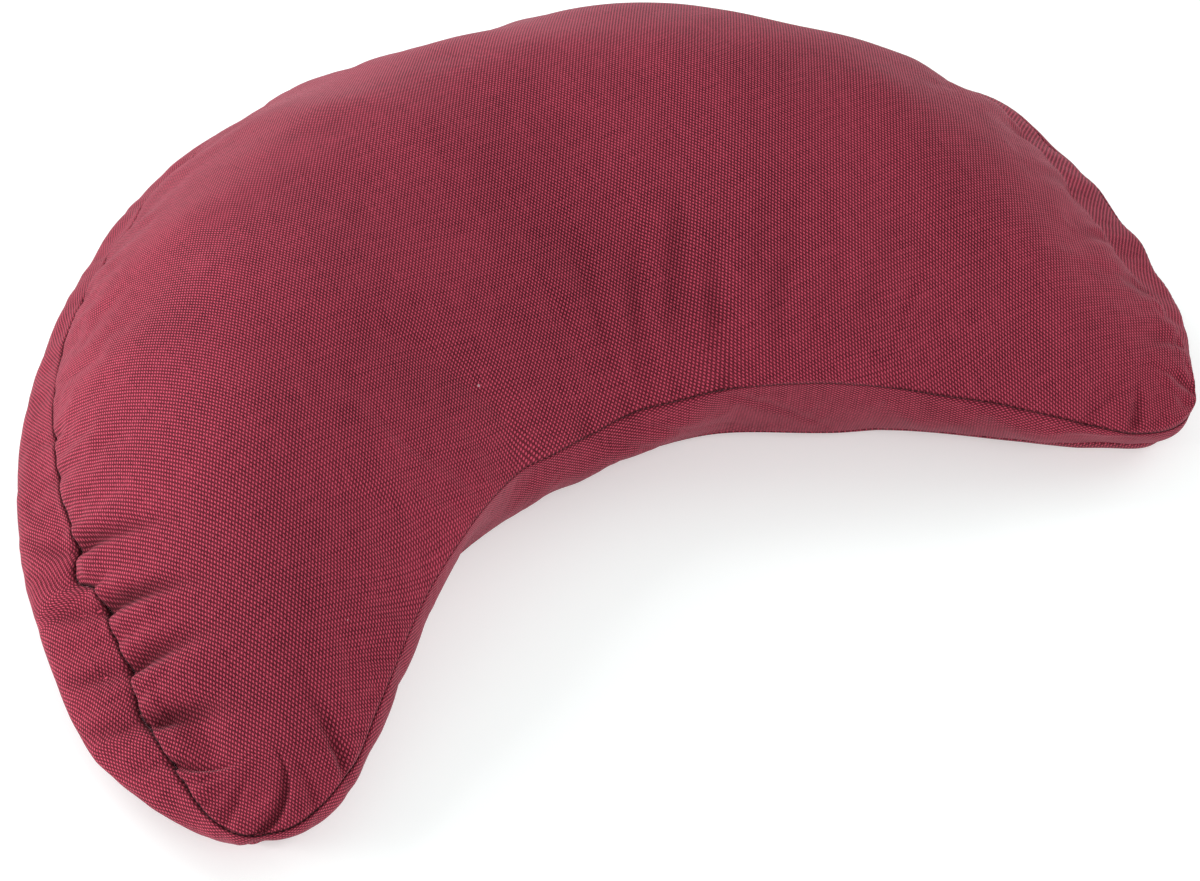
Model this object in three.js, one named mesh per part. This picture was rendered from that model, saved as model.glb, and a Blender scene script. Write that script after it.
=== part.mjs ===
import * as THREE from 'three';
import { mergeVertices } from 'three/addons/utils/BufferGeometryUtils.js';

// Crescent meditation cushion: a filled crescent of plain red canvas, sewn from a top panel,
// a side band and a bottom panel. Millimetres, +Z up. The hollow side of the crescent faces -Y.
// The origin is on the ground, under the middle of the cushion's box.

// Cloth and seams
const CLOTH_THICKNESS = 1.6;
const PIECE_GAP = 0.3;
const SEAM_TUCK = 1.3;
const SEAM_REACH = 2.6;

// Plan of the crescent
const TIP_ROUND_FROM = 0.844;
const TIP_SQUARENESS = 2.8;
const SPINE_END = 0.92;
const OUTER_SWAY = 15;
const INNER_SWAY = -4;
const OUTER_SKEW = 9.5;
const INNER_SKEW = -5.5;

// Heights of the underside
const BOTTOM_SEAM_Z = 6.2;
const BOTTOM_SEAM_SHARE = 0.4;
const BOTTOM_RECESS = 12;
const RECESS_FULL_SEAM_Z = 35;
const BOTTOM_ROLL = 12;
const BOTTOM_ROLL_SHARE = 0.35;

// One row for each section, evenly spaced from the middle of the crescent to its tip.
// outerX, outerY, innerX, innerY: where the top seam runs, on the outer and the inner edge.
// seamZ, crownZ: height of the top seam and of the crown above the middle line.
// outerBulge, innerBulge: how far the side band stands out past its seams.
const SECTIONS = [
  { outerX: 0, outerY: 239, innerX: 0, innerY: 16, seamZ: 39, crownZ: 103, outerBulge: 18, innerBulge: 8 },
  { outerX: 93, outerY: 220, innerX: 27, innerY: 10, seamZ: 42, crownZ: 104, outerBulge: 18, innerBulge: 5 },
  { outerX: 167, outerY: 158, innerX: 46, innerY: 5, seamZ: 45, crownZ: 102, outerBulge: 18, innerBulge: 2 },
  { outerX: 201, outerY: 84, innerX: 75, innerY: -11, seamZ: 47, crownZ: 88, outerBulge: 22, innerBulge: 2 },
  { outerX: 207.5, outerY: 2, innerX: 110, innerY: -30, seamZ: 35, crownZ: 59, outerBulge: 26, innerBulge: 4 },
  { outerX: 210, outerY: -65, innerX: 166, innerY: -80, seamZ: 23, crownZ: 20, outerBulge: 5, innerBulge: 0 },
];

// Puckers along the top seam, one row for each fold that shows from a step away.
// station: -1 at the left tip, 1 at the right tip. depth: at the seam. width: along the seam.
// reach: how far the fold runs over the panel. lean: how far it drifts along the seam for each
// millimetre that it runs in, towards the right tip where it is positive.
const OUTER_PUCKERS = [
  { station: -0.985, depth: 2.0, width: 6, reach: 34, lean: 0.1 },
  { station: -0.93, depth: 2.2, width: 6, reach: 30, lean: 0.5 },
  { station: -0.86, depth: 2.8, width: 6, reach: 26, lean: 0.6 },
  { station: -0.79, depth: 2.4, width: 5.5, reach: 24, lean: 0.7 },
  { station: -0.735, depth: 2.0, width: 5, reach: 20, lean: 0.7 },
  { station: -0.69, depth: 3.4, width: 6, reach: 28, lean: 0.7 },
  { station: -0.635, depth: 2.6, width: 6, reach: 38, lean: 0.6 },
  { station: -0.55, depth: 1.5, width: 6, reach: 12, lean: 0.3 },
  { station: -0.5, depth: 1.2, width: 6, reach: 10, lean: 0.2 },
  { station: -0.31, depth: 1.6, width: 9, reach: 18, lean: 0.2 },
  { station: -0.2, depth: 1.8, width: 9, reach: 18, lean: 0.1 },
  { station: -0.06, depth: 1.6, width: 10, reach: 18, lean: 0 },
  { station: 0.12, depth: 1.4, width: 10, reach: 18, lean: 0 },
  { station: 0.4, depth: 1.6, width: 10, reach: 18, lean: 0 },
  { station: 0.6, depth: 2.6, width: 10, reach: 26, lean: -0.3 },
  { station: 0.73, depth: 2.8, width: 9, reach: 26, lean: -0.4 },
  { station: 0.83, depth: 2.6, width: 8, reach: 26, lean: -0.5 },
  { station: 0.93, depth: 2.2, width: 7, reach: 26, lean: -0.4 },
];
const INNER_PUCKERS = [
  { station: -0.93, depth: 1.6, width: 7, reach: 26, lean: -0.2 },
  { station: -0.2, depth: 1.1, width: 9, reach: 20, lean: 0.2 },
  { station: 0.06, depth: 1.4, width: 9, reach: 60, lean: 0.1 },
  { station: 0.28, depth: 1.2, width: 9, reach: 60, lean: 0 },
  { station: 0.46, depth: 1.0, width: 9, reach: 50, lean: 0 },
  { station: 0.62, depth: 1.0, width: 9, reach: 36, lean: 0 },
  { station: 0.93, depth: 1.8, width: 7, reach: 24, lean: 0.2 },
];
const PUCKER_AT_SEAM = 0.6;
const PUCKER_FULL = 8;
const BAND_PUCKER_REACH = 14;
const PUCKER_IN = 0.6;
const PUCKER_DOWN = 0.8;

// Grid of the surfaces
const STATION_STEPS = 74;
const TIP_DENSITY = 0.45;
const CROWN_ROWS = [0, 0.05, 0.12, 0.21, 0.33, 0.48, 0.65, 0.83];
const BAND_ROWS = [0.25, 0.5, 0.75];
const ROLL_ROWS = [0.4, 1];

// Plain canvas
const CANVAS = { color: 0x853242, roughness: 0.9, metalness: 0 };

// A smooth curve through the section rows, mirrored at the middle (odd values change sign there).
function sectionValue(name, station, odd) {
  const values = SECTIONS.map((row) => row[name]);
  const last = values.length - 1;
  const before = odd ? -values[1] : values[1];
  const after = 2 * values[last] - values[last - 1];
  const padded = [before, ...values, after];
  const place = Math.min(Math.abs(station), 1) * last;
  const index = Math.min(Math.floor(place), last - 1);
  const f = place - index;
  const [a, b, c, d] = padded.slice(index, index + 4);
  const cubic = -a + 3 * b - 3 * c + d;
  const square = 2 * a - 5 * b + 4 * c - d;
  return 0.5 * (2 * b + (c - a) * f + square * f * f + cubic * f * f * f);
}

// Both edges of the crescent at one station, with the tips rounded off and the hand-sewn sway.
function planSection(station) {
  const size = Math.abs(station);
  const side = Math.sign(station);
  const sway = 1 - size * size;
  const outer = new THREE.Vector2(side * sectionValue('outerX', station, true), sectionValue('outerY', station));
  const inner = new THREE.Vector2(side * sectionValue('innerX', station, true), sectionValue('innerY', station));
  const middle = outer.clone().add(inner).multiplyScalar(0.5);
  const half = outer.clone().sub(inner).multiplyScalar(0.5);
  const past = THREE.MathUtils.clamp((size - TIP_ROUND_FROM) / (1 - TIP_ROUND_FROM), 0, 1);
  half.multiplyScalar(Math.pow(1 - Math.pow(past, TIP_SQUARENESS), 1 / TIP_SQUARENESS));
  return {
    outer: middle.clone().add(half).add(new THREE.Vector2(OUTER_SWAY * sway, OUTER_SKEW * station * sway)),
    inner: middle.clone().sub(half).add(new THREE.Vector2(INNER_SWAY * sway, INNER_SKEW * station * sway)),
  };
}

// Stations from the left tip to the right tip, closer together towards the tips.
function stationList() {
  const list = [];
  for (let i = 0; i <= STATION_STEPS; i += 1) {
    const q = (2 * i) / STATION_STEPS - 1;
    list.push(TIP_DENSITY * Math.sin((q * Math.PI) / 2) + (1 - TIP_DENSITY) * q);
  }
  return list;
}

// The top seam as one closed loop: along the outer edge from the left tip to the right tip, then
// back along the inner edge. Each point knows its station, its spine point and its sizes.
function seamLoop() {
  const stations = stationList();
  const last = stations.length - 1;
  const spineFrom = stations.findIndex((station) => station >= -SPINE_END);
  const sections = stations.map(planSection);
  const loop = [];
  for (let i = 0; i < 2 * last; i += 1) {
    const onOuter = i <= last;
    const row = onOuter ? i : 2 * last - i;
    const spineRow = THREE.MathUtils.clamp(row, spineFrom, last - spineFrom);
    const spineSection = sections[spineRow];
    const station = stations[row];
    const tip = THREE.MathUtils.clamp((Math.abs(station) - TIP_ROUND_FROM) / (1 - TIP_ROUND_FROM), 0, 1);
    const outerBulge = sectionValue('outerBulge', station);
    const innerBulge = sectionValue('innerBulge', station);
    const ownBulge = onOuter ? outerBulge : innerBulge;
    loop.push({
      onOuter,
      station,
      spineRow,
      plan: (onOuter ? sections[row].outer : sections[row].inner).clone(),
      spine: spineSection.outer.clone().add(spineSection.inner).multiplyScalar(0.5),
      seamZ: sectionValue('seamZ', station),
      crownZ: sectionValue('crownZ', stations[spineRow]),
      bulge: THREE.MathUtils.lerp(ownBulge, (outerBulge + innerBulge) / 2, tip),
    });
  }
  return loop;
}

// Unit normals in plan, pointing out of the crescent, and the distance run along the seam.
function addNormalsAndRun(loop) {
  const count = loop.length;
  let run = 0;
  loop.forEach((point, i) => {
    const before = loop[(i + count - 1) % count].plan;
    const after = loop[(i + 1) % count].plan;
    const along = after.clone().sub(before).normalize();
    point.normal = new THREE.Vector2(-along.y, along.x);
    point.run = run;
    run += point.plan.distanceTo(after);
  });
  loop.forEach((point) => { point.total = run; });
}

// Where each pucker of a table starts on the loop, as a distance run along the seam.
function puckerRuns(loop, table, onOuter) {
  const half = loop.filter((point) => point.onOuter === onOuter);
  return table.map((row) => {
    const nearest = half.reduce((best, point) => {
      const closer = Math.abs(point.station - row.station) < Math.abs(best.station - row.station);
      return closer ? point : best;
    });
    return { ...row, run: nearest.run, towards: onOuter ? 1 : -1 };
  });
}

// How deep the folds are at one place: a valley with a low ridge on each side of every pucker.
function puckerDepth(puckers, point, inwards, reachOf) {
  return puckers.reduce((sum, pucker) => {
    const centre = pucker.run + pucker.towards * pucker.lean * inwards;
    const gap = Math.abs(point.run - centre);
    const x = Math.min(gap, point.total - gap) / pucker.width;
    const valley = (1 - x * x) * Math.exp((-x * x) / 2);
    const fade = Math.exp(-Math.pow(inwards / reachOf(pucker), 2));
    return sum + pucker.depth * valley * fade;
  }, 0);
}

// A point of a cross-section, from its distance out of the seam and its height.
function place(point, out, z) {
  return [point.plan.x + point.normal.x * out, point.plan.y + point.normal.y * out, z];
}

// The crown: a parabola from the seam up to the spine, with the puckers pressed into it.
function crownPoint(point, share, puckers) {
  const rise = point.crownZ - point.seamZ;
  const width = point.plan.distanceTo(point.spine);
  const inwards = share * width;
  const onset = PUCKER_AT_SEAM + (1 - PUCKER_AT_SEAM) * Math.min(1, inwards / PUCKER_FULL);
  const folds = puckerDepth(puckers, point, inwards, (pucker) => pucker.reach);
  const depth = onset * folds * (1 - share);
  const plan = point.plan.clone().lerp(point.spine, share);
  plan.addScaledVector(point.normal, -PUCKER_IN * depth);
  return [plan.x, plan.y, point.seamZ + rise * (1 - (1 - share) ** 2) - PUCKER_DOWN * depth];
}

// The side band in its cross-section: straight from seam to seam, with the bulge as a sine wave,
// and drawn in under the top seam by the recess. share is 0 at the top seam and 1 at the bottom.
function bandFrame(point, share, puckers) {
  const bottomZ = Math.min(BOTTOM_SEAM_Z, point.seamZ * BOTTOM_SEAM_SHARE);
  const fall = point.seamZ - bottomZ;
  const recess = BOTTOM_RECESS * Math.min(point.seamZ / RECESS_FULL_SEAM_Z, 1.2);
  const slopeOut = point.bulge * Math.PI * Math.cos(Math.PI * share) - recess;
  const length = Math.hypot(slopeOut, fall);
  const along = { out: slopeOut / length, z: -fall / length };
  const normal = { out: fall / length, z: slopeOut / length };
  const folds = puckerDepth(puckers, point, share * fall, () => BAND_PUCKER_REACH);
  const depth = PUCKER_AT_SEAM * folds * (1 - share);
  return {
    out: point.bulge * Math.sin(Math.PI * share) - recess * share - PUCKER_IN * depth,
    z: point.seamZ - fall * share - PUCKER_DOWN * depth,
    along,
    normal,
    bottomZ,
  };
}

// A point on the band: deep is how far under the cloth's face, slide is how far along the band.
function bandPoint(point, share, deep, slide, puckers) {
  const frame = bandFrame(point, share, puckers);
  const out = frame.out - frame.normal.out * deep + frame.along.out * slide;
  return place(point, out, frame.z - frame.normal.z * deep + frame.along.z * slide);
}

// The underside rolls from the bottom seam down to the ground, as a parabola that runs towards
// the spine. lift is how far above the cloth's lower face the point lies.
function bottomPoint(point, share, lift, puckers) {
  const frame = bandFrame(point, 1, puckers);
  const edgeZ = frame.z + frame.along.z * PIECE_GAP;
  const edgeOut = frame.out + frame.along.out * PIECE_GAP;
  const edge = point.plan.clone().addScaledVector(point.normal, edgeOut);
  const width = edge.distanceTo(point.spine);
  const roll = Math.min(BOTTOM_ROLL, BOTTOM_ROLL_SHARE * width);
  const slope = (2 * edgeZ * (1 - share)) / roll;
  const length = Math.hypot(1, slope);
  const inwards = roll * share + (slope / length) * lift;
  const plan = edge.lerp(point.spine, inwards / width);
  return [plan.x, plan.y, edgeZ * (1 - share) ** 2 + lift / length];
}

// A closed skin from rings of points, one ring above the other, each with the loop's own count.
class SkinBuilder {
  constructor(loop) {
    this.loop = loop;
    this.count = loop.length;
    this.positions = [];
    this.triangles = [];
    this.rings = [];
  }

  addPoint(xyz) {
    this.positions.push(...xyz);
    return this.positions.length / 3 - 1;
  }

  // A ring on the far face of a cloth is joined the other way across each four-sided patch, so
  // that the two faces of a gap stay parallel.
  addRing(makePoint, farFace = false) {
    this.rings.push(this.loop.map((point) => this.addPoint(makePoint(point))));
    const made = this.rings.length;
    if (made > 1) {
      this.joinRings(this.rings[made - 2], this.rings[made - 1], farFace);
    }
  }

  addTriangle(a, b, c) {
    if (a !== b && b !== c && c !== a) {
      this.triangles.push(a, b, c);
    }
  }

  joinRings(upper, lower, farFace = false) {
    for (let i = 0; i < this.count; i += 1) {
      const next = (i + 1) % this.count;
      if (farFace) {
        this.addTriangle(upper[i], upper[next], lower[i]);
        this.addTriangle(upper[next], lower[next], lower[i]);
      } else {
        this.addTriangle(upper[i], upper[next], lower[next]);
        this.addTriangle(upper[i], lower[next], lower[i]);
      }
    }
  }

  // The ridge line that closes the top or the bottom: both edges meet in the spine's points.
  spineRing(heightOf) {
    const byRow = new Map();
    return this.loop.map((point) => {
      if (!byRow.has(point.spineRow)) {
        byRow.set(point.spineRow, this.addPoint([point.spine.x, point.spine.y, heightOf(point)]));
      }
      return byRow.get(point.spineRow);
    });
  }

  startAtSpine(heightOf) {
    this.rings.push(this.spineRing(heightOf));
  }

  endAtSpine(heightOf) {
    this.rings.push(this.spineRing(heightOf));
    const made = this.rings.length;
    this.joinRings(this.rings[made - 2], this.rings[made - 1]);
  }

  closeTube() {
    this.joinRings(this.rings[this.rings.length - 1], this.rings[0]);
  }

  geometry() {
    const raw = new THREE.BufferGeometry();
    raw.setAttribute('position', new THREE.Float32BufferAttribute(this.positions, 3));
    raw.setIndex(this.triangles);
    return mergeVertices(raw, 1e-4);
  }
}

// The share of the way to the spine at which a crown row lies, the first just past the seam.
function crownShare(point, row) {
  const first = SEAM_REACH / point.plan.distanceTo(point.spine);
  return first + (1 - first) * row;
}

// The filled body: crown, then the ledge under the seam, then the side and the base that lie
// just inside the band and the bottom panel.
function cushionBody(loop, puckers) {
  const skin = new SkinBuilder(loop);
  const underCloth = CLOTH_THICKNESS + PIECE_GAP;
  skin.startAtSpine((point) => point.crownZ);
  for (const row of [...CROWN_ROWS].reverse()) {
    skin.addRing((point) => crownPoint(point, crownShare(point, row), puckers));
  }
  skin.addRing((point) => bandPoint(point, 0, SEAM_TUCK, -PIECE_GAP, puckers));
  skin.addRing((point) => bandPoint(point, 0, underCloth, -PIECE_GAP, puckers));
  for (const row of BAND_ROWS) {
    skin.addRing((point) => bandPoint(point, row, underCloth, 0, puckers));
  }
  skin.addRing((point) => bandPoint(point, 1, underCloth, PIECE_GAP, puckers));
  for (const row of ROLL_ROWS) {
    skin.addRing((point) => bottomPoint(point, row, underCloth, puckers));
  }
  skin.endAtSpine(() => underCloth);
  return skin.geometry();
}

// The side band: a strip of cloth all the way round, turned in at both seams.
function sideBand(loop, puckers) {
  const skin = new SkinBuilder(loop);
  const nearSeam = 0.07;
  skin.addRing((point) => bandPoint(point, 0, SEAM_TUCK, 0, puckers));
  skin.addRing((point) => bandPoint(point, nearSeam, 0, 0, puckers));
  for (const row of BAND_ROWS) {
    skin.addRing((point) => bandPoint(point, row, 0, 0, puckers));
  }
  skin.addRing((point) => bandPoint(point, 1 - nearSeam, 0, 0, puckers));
  skin.addRing((point) => bandPoint(point, 1, SEAM_TUCK, 0, puckers));
  for (const row of [1, ...[...BAND_ROWS].reverse(), 0]) {
    skin.addRing((point) => bandPoint(point, row, CLOTH_THICKNESS, 0, puckers), true);
  }
  skin.closeTube();
  return skin.geometry();
}

// The bottom panel: flat where the cushion stands, rolled up to the bottom seam at its edge.
function bottomPanel(loop, puckers) {
  const skin = new SkinBuilder(loop);
  skin.startAtSpine(() => CLOTH_THICKNESS);
  for (const row of [...ROLL_ROWS].reverse()) {
    skin.addRing((point) => bottomPoint(point, row, CLOTH_THICKNESS, puckers), true);
  }
  skin.addRing((point) => bandPoint(point, 1, CLOTH_THICKNESS, PIECE_GAP, puckers), true);
  skin.addRing((point) => bandPoint(point, 1, SEAM_TUCK, PIECE_GAP, puckers));
  for (const row of ROLL_ROWS) {
    skin.addRing((point) => bottomPoint(point, row, 0, puckers));
  }
  skin.endAtSpine(() => 0);
  return skin.geometry();
}

// One named piece of the cushion.
function clothPiece(name, geometry) {
  const mesh = new THREE.Mesh(geometry, new THREE.MeshStandardMaterial(CANVAS));
  mesh.name = name;
  return mesh;
}

const loop = seamLoop();
addNormalsAndRun(loop);
const puckers = [...puckerRuns(loop, OUTER_PUCKERS, true), ...puckerRuns(loop, INNER_PUCKERS, false)];

const cushion = new THREE.Group();
cushion.add(clothPiece('cushion_body', cushionBody(loop, puckers)));
cushion.add(clothPiece('side_band', sideBand(loop, puckers)));
cushion.add(clothPiece('bottom_panel', bottomPanel(loop, puckers)));

// The middle of the cushion's box goes over the origin.
const box = new THREE.Box3().setFromObject(cushion);
const middle = box.getCenter(new THREE.Vector3());
cushion.position.set(-middle.x, -middle.y, -box.min.z);
cushion.updateMatrixWorld(true);

export default cushion;
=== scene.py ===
"""Crescent meditation cushion in plain crimson canvas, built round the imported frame.

The cushion is one filled body whose skin is the top panel, a side band and a bottom panel.
Shapes are worked out in millimetres on grids of two parameters, the run along the seam and the
way across the cloth, and are put into meshes in metres.
"""

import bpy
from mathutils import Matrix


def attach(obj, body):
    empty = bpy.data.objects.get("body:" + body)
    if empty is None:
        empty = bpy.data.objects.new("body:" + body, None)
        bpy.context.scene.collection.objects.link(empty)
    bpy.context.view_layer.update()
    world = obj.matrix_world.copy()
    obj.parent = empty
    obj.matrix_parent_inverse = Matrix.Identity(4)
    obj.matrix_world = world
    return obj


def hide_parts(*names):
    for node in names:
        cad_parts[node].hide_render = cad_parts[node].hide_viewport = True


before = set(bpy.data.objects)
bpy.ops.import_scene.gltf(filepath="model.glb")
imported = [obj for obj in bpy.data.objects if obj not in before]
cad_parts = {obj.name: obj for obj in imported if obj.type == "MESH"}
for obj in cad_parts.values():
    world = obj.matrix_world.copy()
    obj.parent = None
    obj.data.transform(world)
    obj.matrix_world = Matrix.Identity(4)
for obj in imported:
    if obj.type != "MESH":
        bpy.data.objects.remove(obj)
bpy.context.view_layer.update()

import logging
import math
from dataclasses import dataclass
from enum import Enum

import bpy
import numpy as np
from mathutils import Matrix

Array = np.ndarray
Colour = tuple[float, float, float, float]
NodeSocket = bpy.types.NodeSocket

MM = 0.001
FULL_TURN = 2 * math.pi
UP = np.array([0.0, 0.0, 1.0])
CLOTH_UV = "cloth"
# Point attribute holding the painted shade along the seams and in folds.
SHADE_ATTRIBUTE = "painted_shade"
SURFACE_STEPS = 640
log = logging.getLogger("cushion")


class Edge(Enum):
    """The crescent's long edges; the value is the sense in which the seam loop runs there."""

    OUTER = 1
    INNER = -1


def smooth_step(x: Array) -> Array:
    """A soft rise from 0 to 1: 3x² - 2x³, with x held between 0 and 1."""
    held = np.clip(x, 0.0, 1.0)
    return held * held * (3.0 - 2.0 * held)


def blend(a: Array, b: Array, share: Array) -> Array:
    """A straight mix: a + (b - a) * share."""
    return a + (b - a) * share


def unit(vectors: Array) -> Array:
    """The same directions at length 1, along the last axis."""
    return vectors / np.maximum(np.linalg.norm(vectors, axis=-1, keepdims=True), 1e-9)


@dataclass(frozen=True)
class CrescentPlan:
    """Sizes of the crescent at six even stations from its middle to a tip, in millimetres.

    Station -1 is the left tip and 1 the right tip. Each column is a smooth curve through its
    rows, mirrored at the middle, and the same on the solids of the frame.
    """

    outer_x: tuple[float, ...] = (0, 93, 167, 201, 207.5, 210)
    outer_y: tuple[float, ...] = (239, 220, 158, 84, 2, -65)
    inner_x: tuple[float, ...] = (0, 27, 46, 75, 110, 166)
    inner_y: tuple[float, ...] = (16, 10, 5, -11, -30, -80)
    seam_z: tuple[float, ...] = (39, 42, 45, 47, 35, 23)
    crown_z: tuple[float, ...] = (103, 104, 102, 88, 59, 20)
    outer_bulge: tuple[float, ...] = (18, 18, 18, 22, 26, 5)
    inner_bulge: tuple[float, ...] = (8, 5, 2, 2, 4, 0)
    tip_round_from: float = 0.844
    tip_squareness: float = 2.8
    spine_end: float = 0.92
    outer_sway: float = 15.0
    inner_sway: float = -4.0
    outer_skew: float = 9.5
    inner_skew: float = -5.5
    origin: tuple[float, float] = (-5.805, -88.495)

    def size(self, name: str, station: Array, odd: bool = False) -> Array:
        """A smooth cubic (Catmull-Rom) curve through one column, mirrored at the middle.

        Args:
            name: The column.
            station: Where along the crescent, from -1 to 1.
            odd: Whether the value changes sign at the middle, as the x of an edge does.

        Returns:
            The size at each station.
        """
        rows = np.array(getattr(self, name), float)
        before = -rows[1] if odd else rows[1]
        padded = np.concatenate(([before], rows, [2 * rows[-1] - rows[-2]]))
        place = np.clip(np.abs(station), 0.0, 1.0) * (len(rows) - 1)
        index = np.minimum(place.astype(int), len(rows) - 2)
        f = place - index
        a, b, c, d = (padded[index + k] for k in range(4))
        square = 2 * a - 5 * b + 4 * c - d
        cubic = -a + 3 * b - 3 * c + d
        return 0.5 * (2 * b + (c - a) * f + square * f**2 + cubic * f**3)

    def past_tip(self, station: Array) -> Array:
        """How far a station is into the rounded tip, from 0 to 1."""
        return np.clip((np.abs(station) - self.tip_round_from) / (1 - self.tip_round_from), 0, 1)

    def edges(self, station: Array) -> tuple[Array, Array]:
        """Both seam edges in plan: middle ± half, with half narrowed to a blunt round tip.

        Past the start of the tip the half width is times (1 - past^k)^(1/k), and the edges
        sway by (1 - station²) as the filling does.

        Args:
            station: Where along the crescent.

        Returns:
            The outer and the inner edge, as points (x, y).
        """
        side = np.sign(station)
        outer, inner = (
            np.stack(
                [side * self.size(f"{edge}_x", station, True), self.size(f"{edge}_y", station)], -1
            )
            for edge in ("outer", "inner")
        )
        k = self.tip_squareness
        narrow = (1 - self.past_tip(station) ** k) ** (1 / k)
        middle, half = (outer + inner) / 2, (outer - inner) / 2 * narrow[..., None]
        sway = 1 - station**2
        shift_out = np.stack([self.outer_sway * sway, self.outer_skew * station * sway], -1)
        shift_in = np.stack([self.inner_sway * sway, self.inner_skew * station * sway], -1)
        origin = np.array(self.origin)
        return middle + half + shift_out + origin, middle - half + shift_in + origin


class SeamLoop:
    """The top seam as one closed loop: out along the outer edge, back along the inner edge."""

    FINE_STEPS = 4001

    def __init__(self, plan: CrescentPlan, steps: int) -> None:
        """Spreads the loop's points so that both edges are stepped evenly.

        Args:
            plan: The crescent's sizes.
            steps: Steps from tip to tip on each edge.
        """
        dense = np.sin(np.linspace(-math.pi / 2, math.pi / 2, self.FINE_STEPS))
        outer, inner = plan.edges(dense)
        pace = np.linalg.norm(np.diff(outer, axis=0), axis=1)
        pace = pace + np.linalg.norm(np.diff(inner, axis=0), axis=1)
        travelled = np.concatenate(([0.0], np.cumsum(pace)))
        rows = np.interp(np.linspace(0, travelled[-1], steps + 1), travelled, dense)
        rows[0], rows[-1] = -1.0, 1.0
        first_spine = int(np.argmax(rows >= -plan.spine_end))
        outer, inner = plan.edges(rows)
        row = np.concatenate([np.arange(steps + 1), np.arange(steps - 1, 0, -1)])
        self.size = len(row)
        self.on_outer = np.arange(self.size) <= steps
        self.station = rows[row]
        self.plan = np.where(self.on_outer[:, None], outer[row], inner[row])
        self.spine_row = np.clip(row, first_spine, steps - first_spine) - first_spine
        spine_rows = rows[first_spine : steps - first_spine + 1]
        spine_outer, spine_inner = plan.edges(spine_rows)
        self.spine_line = (spine_outer + spine_inner) / 2
        self.spine_height = plan.size("crown_z", spine_rows)
        self.spine = self.spine_line[self.spine_row]
        self.crown_z = self.spine_height[self.spine_row]
        self.seam_z = plan.size("seam_z", self.station)
        outer_bulge = plan.size("outer_bulge", self.station)
        inner_bulge = plan.size("inner_bulge", self.station)
        own = np.where(self.on_outer, outer_bulge, inner_bulge)
        self.bulge = blend(own, (outer_bulge + inner_bulge) / 2, plan.past_tip(self.station))
        along = unit(np.roll(self.plan, -1, 0) - np.roll(self.plan, 1, 0))
        self.normal = np.stack([-along[:, 1], along[:, 0]], -1)
        step = np.linalg.norm(np.roll(self.plan, -1, 0) - self.plan, axis=1)
        self.run = np.concatenate(([0.0], np.cumsum(step)[:-1]))
        self.total = float(step.sum())
        self.width = np.linalg.norm(self.plan - self.spine, axis=1)
        spine_step = np.gradient(self.spine_line, axis=0)
        spine_pace = np.linalg.norm(spine_step, axis=1)
        steepness = np.gradient(self.spine_height) / spine_pace
        downhill = spine_step / spine_pace[:, None] * steepness[:, None]
        ahead = unit(self.plan - self.spine)
        self.spine_slope = (downhill[self.spine_row] * ahead).sum(axis=1)

    def run_at(self, edge: Edge, station: Array) -> Array:
        """The distance run along the seam to a station of one edge.

        Args:
            edge: The outer or the inner edge.
            station: Where on it.

        Returns:
            The runs, in millimetres.
        """
        mine = self.on_outer if edge is Edge.OUTER else ~self.on_outer
        order = np.argsort(self.station[mine])
        return np.interp(station, self.station[mine][order], self.run[mine][order])

    def apart(self, run: Array) -> Array:
        """The signed distance round the loop, the short way."""
        half = self.total / 2
        return np.mod(run + half, self.total) - half

    def nearness(self, reach: float) -> Array:
        """How near each two of its points lie: exp(-(distance round the loop / reach)²)."""
        return np.exp(-((self.apart(self.run[:, None] - self.run[None, :]) / reach) ** 2))


@dataclass(frozen=True)
class EdgeTable:
    """Rows of sizes in millimetres along one edge, each of them after its station."""

    edge: Edge
    rows: tuple[tuple[float, ...], ...]

    def on(self, loop: SeamLoop) -> Array:
        """The rows with their stations turned into runs along the seam.

        Args:
            loop: The seam loop.

        Returns:
            The rows.
        """
        rows = np.array(self.rows, float)
        rows[:, 0] = loop.run_at(self.edge, rows[:, 0])
        return rows


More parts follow.
